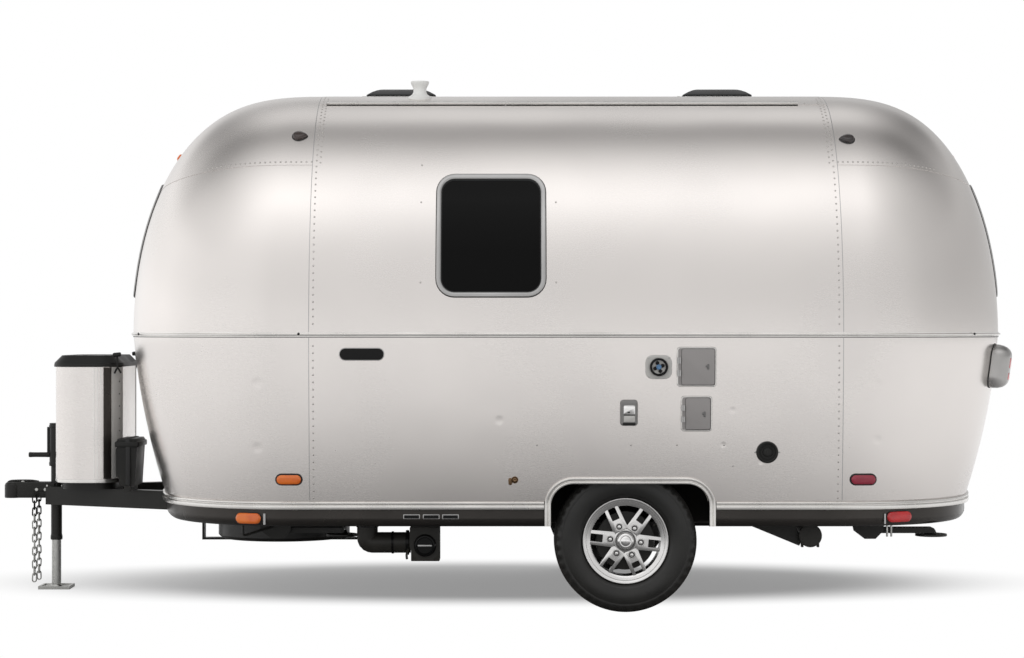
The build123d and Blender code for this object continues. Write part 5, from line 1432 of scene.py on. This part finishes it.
def make_chains():
    half, bend = 0.011, 0.0096
    turns = [pi * (j + 0.5) / 6 for j in range(12)]
    points = [(bend * cos(a), 0, (half if sin(a) > 0 else -half) + bend * sin(a)) for a in turns]
    link = rod("link", points, 0.0034, zinc, closed=True, sides=8)
    black, bright = bmesh.new(), bmesh.new()
    for side in (-1, 1):
        for k in range(13):
            bm = black if k < 3 else bright
            before = len(bm.verts)
            bm.from_mesh(link.data)
            bm.verts.ensure_lookup_table()
            spot = Vector((CHAIN_X, side * 0.06, 0.4643 - 0.0337 * k))
            turn = Matrix.Rotation(radians(90 * (k % 2) + 6 * sin(2.1 * k)), 4, "Z") @ Matrix.Rotation(
                radians(3 * sin(1.3 * k + side)), 4, "Y")
            for v in bm.verts[before:]:
                v.co = spot + (turn @ (v.co * 1.09))
    bpy.data.objects.remove(link)
    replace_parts(finished("chain_links_bright", bright, zinc, smooth=60), "safety_chains")
    finished("chain_links_black", black, black_paint, smooth=60)


# Gas cover: middle x, length, width and corner radius
COVER = (-2.0935, 0.337, 0.66, 0.12)


def make_gas_cover():
    """Ribs, a dark strip of painted shade for the recess, rear panel rivets, tray lip and latch of the bottle
    cover.
    """
    x, length, width, corner = COVER

    def wall(side):
        """Point of the cover's side at a place along it."""
        def at(u, v, out):
            rear = x + length / 2 - corner
            front = x - length / 2 + corner
            y, nx, ny = width / 2, 0.0, 1.0
            for joint, way in ((rear, 1), (front, -1)):
                ahead = (u - joint) * way
                if ahead > 0:
                    share = min(0.999, ahead / corner)
                    y = width / 2 - corner + corner * sqrt(1 - share * share)
                    nx, ny = way * share, sqrt(1 - share * share)
            return Vector((u + nx * out, side * (y + ny * out), v))
        return at

    def strip(bm, x0, x1, out, side, steps=8):
        at = wall(side)
        low, high = 0.582, 1.142
        profile = [(low, 0.0002), (low, out), (high, out), (high, 0.0002)]
        ringed(4, steps, lambda i, k: at(x0 + (x1 - x0) * k / (steps - 1), *profile[i]), start=True, end=True,
            bm=bm)
    ribs, dark, panel, rivets = bmesh.new(), bmesh.new(), bmesh.new(), bmesh.new()
    for side in (-1, 1):
        for x0 in (-2.052, -2.036, -2.019):
            strip(ribs, x0, x0 + 0.005, 0.003, side, 4)
        # A flat dark strip between the ribs and the rear panel: painted shade standing for the recess.
        strip(dark, -2.004, -1.968, 0.0012, side)
        strip(panel, -1.966, -1.9252, 0.0024, side, 16)
        for i in range(6):
            p = wall(side)(-1.936, 0.76 + 0.062 * i, 0.0024)
            rivet(rivets, p, Vector((0.88, side * 0.48, 0)).normalized(), COVER_RIVET)
    finished("cover_ribs", ribs, bead_metal)
    finished("cover_recess_painted_shade", dark, skirt_metal)
    finished("cover_rear_panel", panel, pale_plastic)
    finished("cover_rivets", rivets, black_plastic)
    outline = box_outline(length, width, corner, 64)
    lip = trim_ring(lambda u, v, out: Vector((x + u, v, 0.5605 + out)), outline, 64,
        mm(1, 0, -1.2, 2, -1.6, 10, -1.2, 18, 1, 18.6))
    finished("tray_lip", lip, bead_metal)
    edge = trim_ring(lambda u, v, out: Vector((x + u, v, 1.144 + out)),
        box_outline(length + 0.012, width + 0.012, corner, 64), 64,
        mm(0, 0, -1.8, 1, -1.8, 12, 0, 15, 2, 12, 2, 1))
    finished("cover_lid_edge", edge, black_plastic)
    for side in (-1, 1):
        label = "road" if side < 0 else "kerb"
        y = side * 0.309
        rod(f"cover_latch_{label}_stem", [(-1.938, y, 1.205), (-1.936, y * 1.01, 1.185),
            (-1.934, y * 1.02, 1.16), (-1.934, y * 1.02, 1.135)], 0.0055, black_plastic, sides=12)
        rod(f"cover_latch_{label}_legs", [(-1.95, y * 1.01, 1.112), (-1.942, y * 1.02, 1.13),
            (-1.934, y * 1.03, 1.14), (-1.926, y * 1.0, 1.13), (-1.92, y * 0.98, 1.114)], 0.0048,
            black_plastic, sides=12)
        knob = turned(plug(-20, 8.5, -14, 11, 14, 11, 20, 8.5), (-1.938, y, 1.206), (1, 0, 0.1), 20)
        finished(f"cover_latch_{label}_knob", knob, black_plastic, smooth=40)


def make_battery_box():
    bm = slab((-1.923, -0.478, 0.748), (-1.804, -0.192, 0.776), 0.006, 3)
    slab((-1.913, -0.468, 0.772), (-1.814, -0.202, 0.79), 0.008, 3, bm)
    for i in range(6):
        slab((-1.921, -0.455 + 0.043 * i, 0.6), (-1.9, -0.443 + 0.043 * i, 0.742), 0.002, 1, bm)
    finished("battery_lid", bm, black_plastic)
    strap = slab((-1.868, -0.4765, 0.56), (-1.846, -0.468, 0.792), 0.002, 2)
    slab((-1.868, -0.476, 0.786), (-1.846, -0.194, 0.7925), 0.002, 2, strap)
    finished("battery_strap", strap, black_gum_and_shadow)


# Below the body
DRAIN_Y, DRAIN_Z, FRAME_Z = -0.95, 0.318, 0.409
LEG_X = {"front": -1.068, "rear": 1.763}


def make_drain():
    pipe = rod("drain_elbow", [(-0.64, DRAIN_Y, 0.404), (-0.64, DRAIN_Y, 0.37), (-0.64, DRAIN_Y, DRAIN_Z),
        (-0.59, DRAIN_Y, DRAIN_Z), (-0.434, DRAIN_Y, DRAIN_Z)], 0.0495, black_plastic, sides=32)
    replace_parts(pipe, "drain")
    bm = slab((-0.43, -1.012, 0.234), (-0.294, -0.888, 0.407), 0.004, 2)
    prism(mm(-436, 296, -398, 236, -330, 236, -298, 270, -298, 392, -436, 392),
          lambda u, v: Vector((u, -1.0125, v)), lambda u, v: Vector((u, -0.888, v)), bm)
    finished("drain_valve_box", bm, black_plastic, smooth=30)
    rings = turned(mm(-4, 50, -4, 58.5, 10, 59.5, 12, 50, -4, 50), (-0.452, DRAIN_Y, DRAIN_Z), ALONG, 40)
    turned(mm(-4, 49.5, -4, 53, 6, 53, 6, 49.5, -4, 49.5), (-0.52, DRAIN_Y, DRAIN_Z), ALONG, 40, bm=rings)
    turned(mm(0, 49.5, 0, 53, 6, 53, 6, 49.5, 0, 49.5), (-0.64, DRAIN_Y, 0.392), UP, 40, bm=rings)
    finished("drain_rings", rings, black_gloss, smooth=40)
    cap = turned(plug(-6, 52, 4, 53.5, 12, 52, 20, 50, 26, 47, 28, 40, 22.5, 37), (-0.3635, -1.012, 0.3095),
        (0, -1, 0), 48)
    finished("drain_cap", cap, black_gloss, smooth=40)
    grip = slab((-0.3975, -1.0415, 0.3045), (-0.3295, -1.0335, 0.3145), 0.003, 2)
    finished("drain_cap_grip", grip, frame_metal)
    rod("drain_handle", [(-0.44, -0.99, 0.3), (-0.447, -1.01, 0.28), (-0.452, -1.018, 0.262),
        (-0.448, -1.022, 0.245)], 0.006, black_plastic, sides=12)


def make_hose_tube():
    bm = bmesh.new()
    for side in (-1, 1):
        turned(plug(-10, 54.5, 14, 55.5, 20, 53.5, 22.5, 48, 19, 44), (1.468, side * 0.96, 0.352),
            (0, side, 0), 40, bm=bm)
        slab((1.425, side * 0.955 - 0.012, 0.296), (1.437, side * 0.955 + 0.012, 0.318), 0.003, 2, bm)
        slab((1.5, side * 0.955 - 0.012, 0.296), (1.512, side * 0.955 + 0.012, 0.318), 0.003, 2, bm)
    finished("hose_tube_caps", bm, black_plastic, smooth=40)
    wedge = bmesh.new()
    for side in (-1, 1):
        prism([(1.155, FRAME_Z), (1.42, 0.3), (1.432, 0.322), (1.4, FRAME_Z)],
              lambda u, v: Vector((u, side * 0.93, v)), lambda u, v: Vector((u, side * 0.922, v)), wedge)
    finished("hose_tube_gussets", wedge, black_paint, smooth=30)


def make_stabiliser_details():
    """Mount plates by the rear legs' pivots, and the legs' round feet."""
    bm = bmesh.new()
    for x0 in (LEG_X["rear"], LEG_X["front"]):
        for side in (-1, 1):
            shape = [(-0.09, FRAME_Z), (-0.082, 0.372), (-0.03, 0.333), (0.022, 0.333), (0.06, 0.372),
                (0.062, FRAME_Z)]
            prism([(x0 + u, v) for u, v in shape], lambda u, v: Vector((u, side * 0.93, v)),
                  lambda u, v: Vector((u, side * 0.915, v)), bm)
    finished("stabiliser_mount_plates", bm, black_paint, smooth=30)
    rods = bmesh.new()
    for x in (1.838, 1.858):
        for side in (-1, 1):
            turned([(0.345, 0.0001), (0.345, 0.005), (FRAME_Z, 0.005), (FRAME_Z, 0.0001)],
                (x, side * 0.94, 0), UP, 12, bm=rods)
    finished("jack_rods", rods, zinc)
    for name, side in (("front_left", -1), ("front_right", 1), ("rear_left", -1), ("rear_right", 1)):
        spot = (LEG_X[name.split("_")[0]] + 0.3, side * 0.85, 0.3412)
        bm = turned(plug(0, 75, 4, 76.5, 10, 75.5, 11, 70, 8.5, 64, 12, 30, 20, 24, 30, 20), spot, UP, 36)
        finished(f"foot_pad_{name}", bm, black_paint, f"stabiliser_{name}", smooth=40)
    rod("step_stay", [(-1.235, -0.93, 0.41), (-1.235, -0.93, 0.38), (-1.235, -0.93, 0.352),
        (-1.222, -0.93, 0.35), (-1.15, -0.93, 0.375), (-1.09, -0.93, 0.392)], 0.006, black_paint, sides=12)


def make_step_details():
    bm = bmesh.new()
    for i in range(4):
        slab((-0.69, 0.885 + 0.062 * i, 0.3955), (-0.25, 0.905 + 0.062 * i, 0.399), 0.0012, 1, bm)
    slab((-0.7, 1.132, 0.372), (-0.24, 1.152, 0.397), 0.005, 3, bm)
    finished("step_grips", bm, tread_rubber)


def make_awning_details():
    z, y = 2.345, section(2.345)[2] + 0.078
    bm = bmesh.new()
    for x, way in ((-0.86, -1), (1.45, 1)):
        turned(plug(-4, 45, 10, 46, 18, 44, 22, 38), (x, y, z), (way, 0, 0), 40, bm=bm)
    finished("awning_caps", bm, white_plastic, smooth=40)
    roll = turned(plug(0, 42.4, 2310, 42.4), (-0.86, y, z), ALONG, 48)
    fold = slab((-0.85, y + 0.02, z - 0.044), (1.44, y + 0.03, z - 0.03), 0.003, 2, roll)
    finished("awning_cloth", fold, canvas, smooth=40)
    hem = bmesh.new()
    turned(plug(0, 7.5, 2290, 7.5), (-0.85, y + 0.026, z - 0.034), ALONG, 16, bm=hem)
    finished("awning_bar", hem, bead_metal)


for label, side in (("left", -1), ("right", 1)):
    make_tyre(label, side)
    make_wheel(label, side)
make_coupler()
make_jack()
make_chains()
make_gas_cover()
make_battery_box()
make_drain()
make_hose_tube()
make_stabiliser_details()
make_step_details()
make_awning_details()


# Camera, light and floor
camera_data = bpy.data.cameras.new("camera")
camera_data.lens = 85.2
camera_data.sensor_width = 36
camera_data.clip_end = 200
camera = linked("camera", camera_data)
camera.location = (0.049, -12.5, 1.335)
camera.rotation_euler = (pi / 2, 0, 0)
bpy.context.scene.camera = camera


def make_world():
    """White to the camera; to the object, a pale room with soft boxes, dark corners and a dark overhead."""
    world = bpy.data.worlds.new("studio")
    bpy.context.scene.world = world
    w = rewired(world)
    way = w.put("ShaderNodeTexCoord").outputs["Generated"]
    east, north, up = w.put("ShaderNodeSeparateXYZ", {"Vector": way}).outputs
    beside = w.sums("ABSOLUTE", east)
    white = (1, 1, 1, 1)
    # Tone by elevation, and soft boxes by the way round
    rise = w.sums("ARCSINE", up)
    level = w.sums("ADD", w.times(rise, 1 / pi), 0.5)
    tone = w.ramp(level, [(0.0, 0.5), (0.49, 0.8), (0.5, 0.9), (0.53, 0.86), (0.575, 0.78), (0.62, 0.82),
        (0.66, 0.86), (0.72, 1.12), (0.79, 1.58), (0.86, 1.74), (1.0, 1.5)])
    turn = w.sums("ARCTAN2", east, w.times(north, -1.0))
    around = w.sums("ADD", w.times(turn, 0.5 / pi), 0.5)
    boxes = w.ramp(around, [(0.0, 0.9), (0.08, 1.25), (0.14, 1.42), (0.22, 1.45), (0.32, 1.27), (0.44, 1.22),
        (0.485, 1.12), (0.52, 0.97), (0.6, 0.94), (0.66, 0.78), (0.73, 0.72), (0.92, 0.7), (1.0, 0.8)])
    shaped = w.blend(w.span(rise, 0.35, 0.8, (1.0, 0.0), "LINEAR"), white, boxes)
    # A veil over the room behind, weaker at the flanks
    flank = w.times(w.span(beside, 0.4, 0.75), w.span(up, 0.5, 0.85, (0.65, 0.0)))
    over = w.times(w.span(up, 0.36, 0.56), w.rest(flank))
    depth = w.sums("ADD", w.times(north, 0.5), 0.5)
    behind = w.ramp(depth, [(0.0, 1.0), (0.18, 1.0), (0.275, 0.74), (0.37, 0.56), (0.455, 0.4), (0.5, 0.33),
        (0.55, 0.25), (0.6, 0.24), (0.65, 0.3), (0.71, 0.5), (0.8, 0.55), (1.0, 0.55)])
    veil = w.blend(over, white, behind)
    # Dimmer corners behind and at the right
    dim_rear = w.times(w.times(w.span(beside, 0.18, 0.45), w.span(north, 0.0, 0.3)), w.times(over, 0.45))
    dim_right = w.times(w.times(w.span(east, 0.1, 0.45), w.span(up, 0.38, 0.68)), 0.22)
    corner = w.times(w.rest(dim_rear), w.rest(dim_right))
    both = w.vector("MULTIPLY", w.vector("MULTIPLY", tone, shaped), veil)
    both = w.put("ShaderNodeVectorMath", {0: both, "Scale": corner}, operation="SCALE").outputs[0]
    seen = w.put("ShaderNodeBackground", {"Color": white, "Strength": 1.0}).outputs[0]
    lit = w.put("ShaderNodeBackground", {"Color": both, "Strength": 1.0}).outputs[0]
    path = w.put("ShaderNodeLightPath").outputs["Is Camera Ray"]
    mix = w.put("ShaderNodeMixShader", {0: path, 1: lit, 2: seen})
    w.put("ShaderNodeOutputWorld", {"Surface": mix.outputs[0]})


def make_floor():
    """Pale floor that keeps the shadow near the caravan and turns plain white further off. The white starts
    nearer on the camera's side, a painted white over the near part of the shadow; to reflections the floor is
    darker near the caravan, a painted shade, and glows more further off, a painted light.
    """
    bm = bmesh.new()
    bmesh.ops.create_grid(bm, x_segments=4, y_segments=4, size=60)
    piece = linked("floor_pale", mesh_of("floor_pale", bm))
    material = bpy.data.materials.new("pale floor")
    w = rewired(material)
    place = w.place()
    # The white oval sits behind the middle and is narrow across the length, so its painted white covers the
    # shadow's near side.
    oval = w.vector("MULTIPLY", w.vector("SUBTRACT", place, (0.0, 0.35, 0.0)), (1.0, 2.4, 1.0))
    far = w.span(w.vector("LENGTH", oval), 1.7, 3.1)
    reach = w.vector("LENGTH", w.vector("MULTIPLY", place, (1.8, 1.0, 1.0)))
    share = w.span(reach, 0.0, 16.0, kind="LINEAR")
    # To reflections the floor's colour is darker near the caravan: a painted shade.
    reflected_painted_shade = w.ramp(share, [(0.0, 0.16), (0.14, 0.25), (0.21, 0.46), (0.3, 0.72), (0.42, 0.92), (0.6, 0.98),
        (1.0, 0.98)])
    # To reflections the floor glows more further off: a painted light.
    lit = w.ramp(share, [(0.0, 0.0), (0.24, 0.02), (0.32, 0.1), (0.45, 0.21), (0.65, 0.29), (1.0, 0.31)])
    seen = w.put("ShaderNodeLightPath").outputs["Is Camera Ray"]
    matt = w.put("ShaderNodeBsdfDiffuse", {"Color": w.blend(seen, reflected_painted_shade, (0.62, 0.62, 0.62, 1))})
    strength = w.blend(seen, lit, (0.27, 0.27, 0.27, 1))
    glow = w.put("ShaderNodeEmission", {"Color": (1, 1, 1, 1), "Strength": strength})
    near = w.put("ShaderNodeAddShader", {0: matt.outputs[0], 1: glow.outputs[0]})
    white = w.put("ShaderNodeEmission", {"Color": (1, 1, 1, 1), "Strength": 1.0})
    mix = w.put("ShaderNodeMixShader", {0: w.times(far, seen), 1: near.outputs[0], 2: white.outputs[0]})
    w.put("ShaderNodeOutputMaterial", {"Surface": mix.outputs[0]})
    piece.data.materials.append(material)


make_world()
make_floor()
bpy.context.scene.view_settings.view_transform = "Standard"
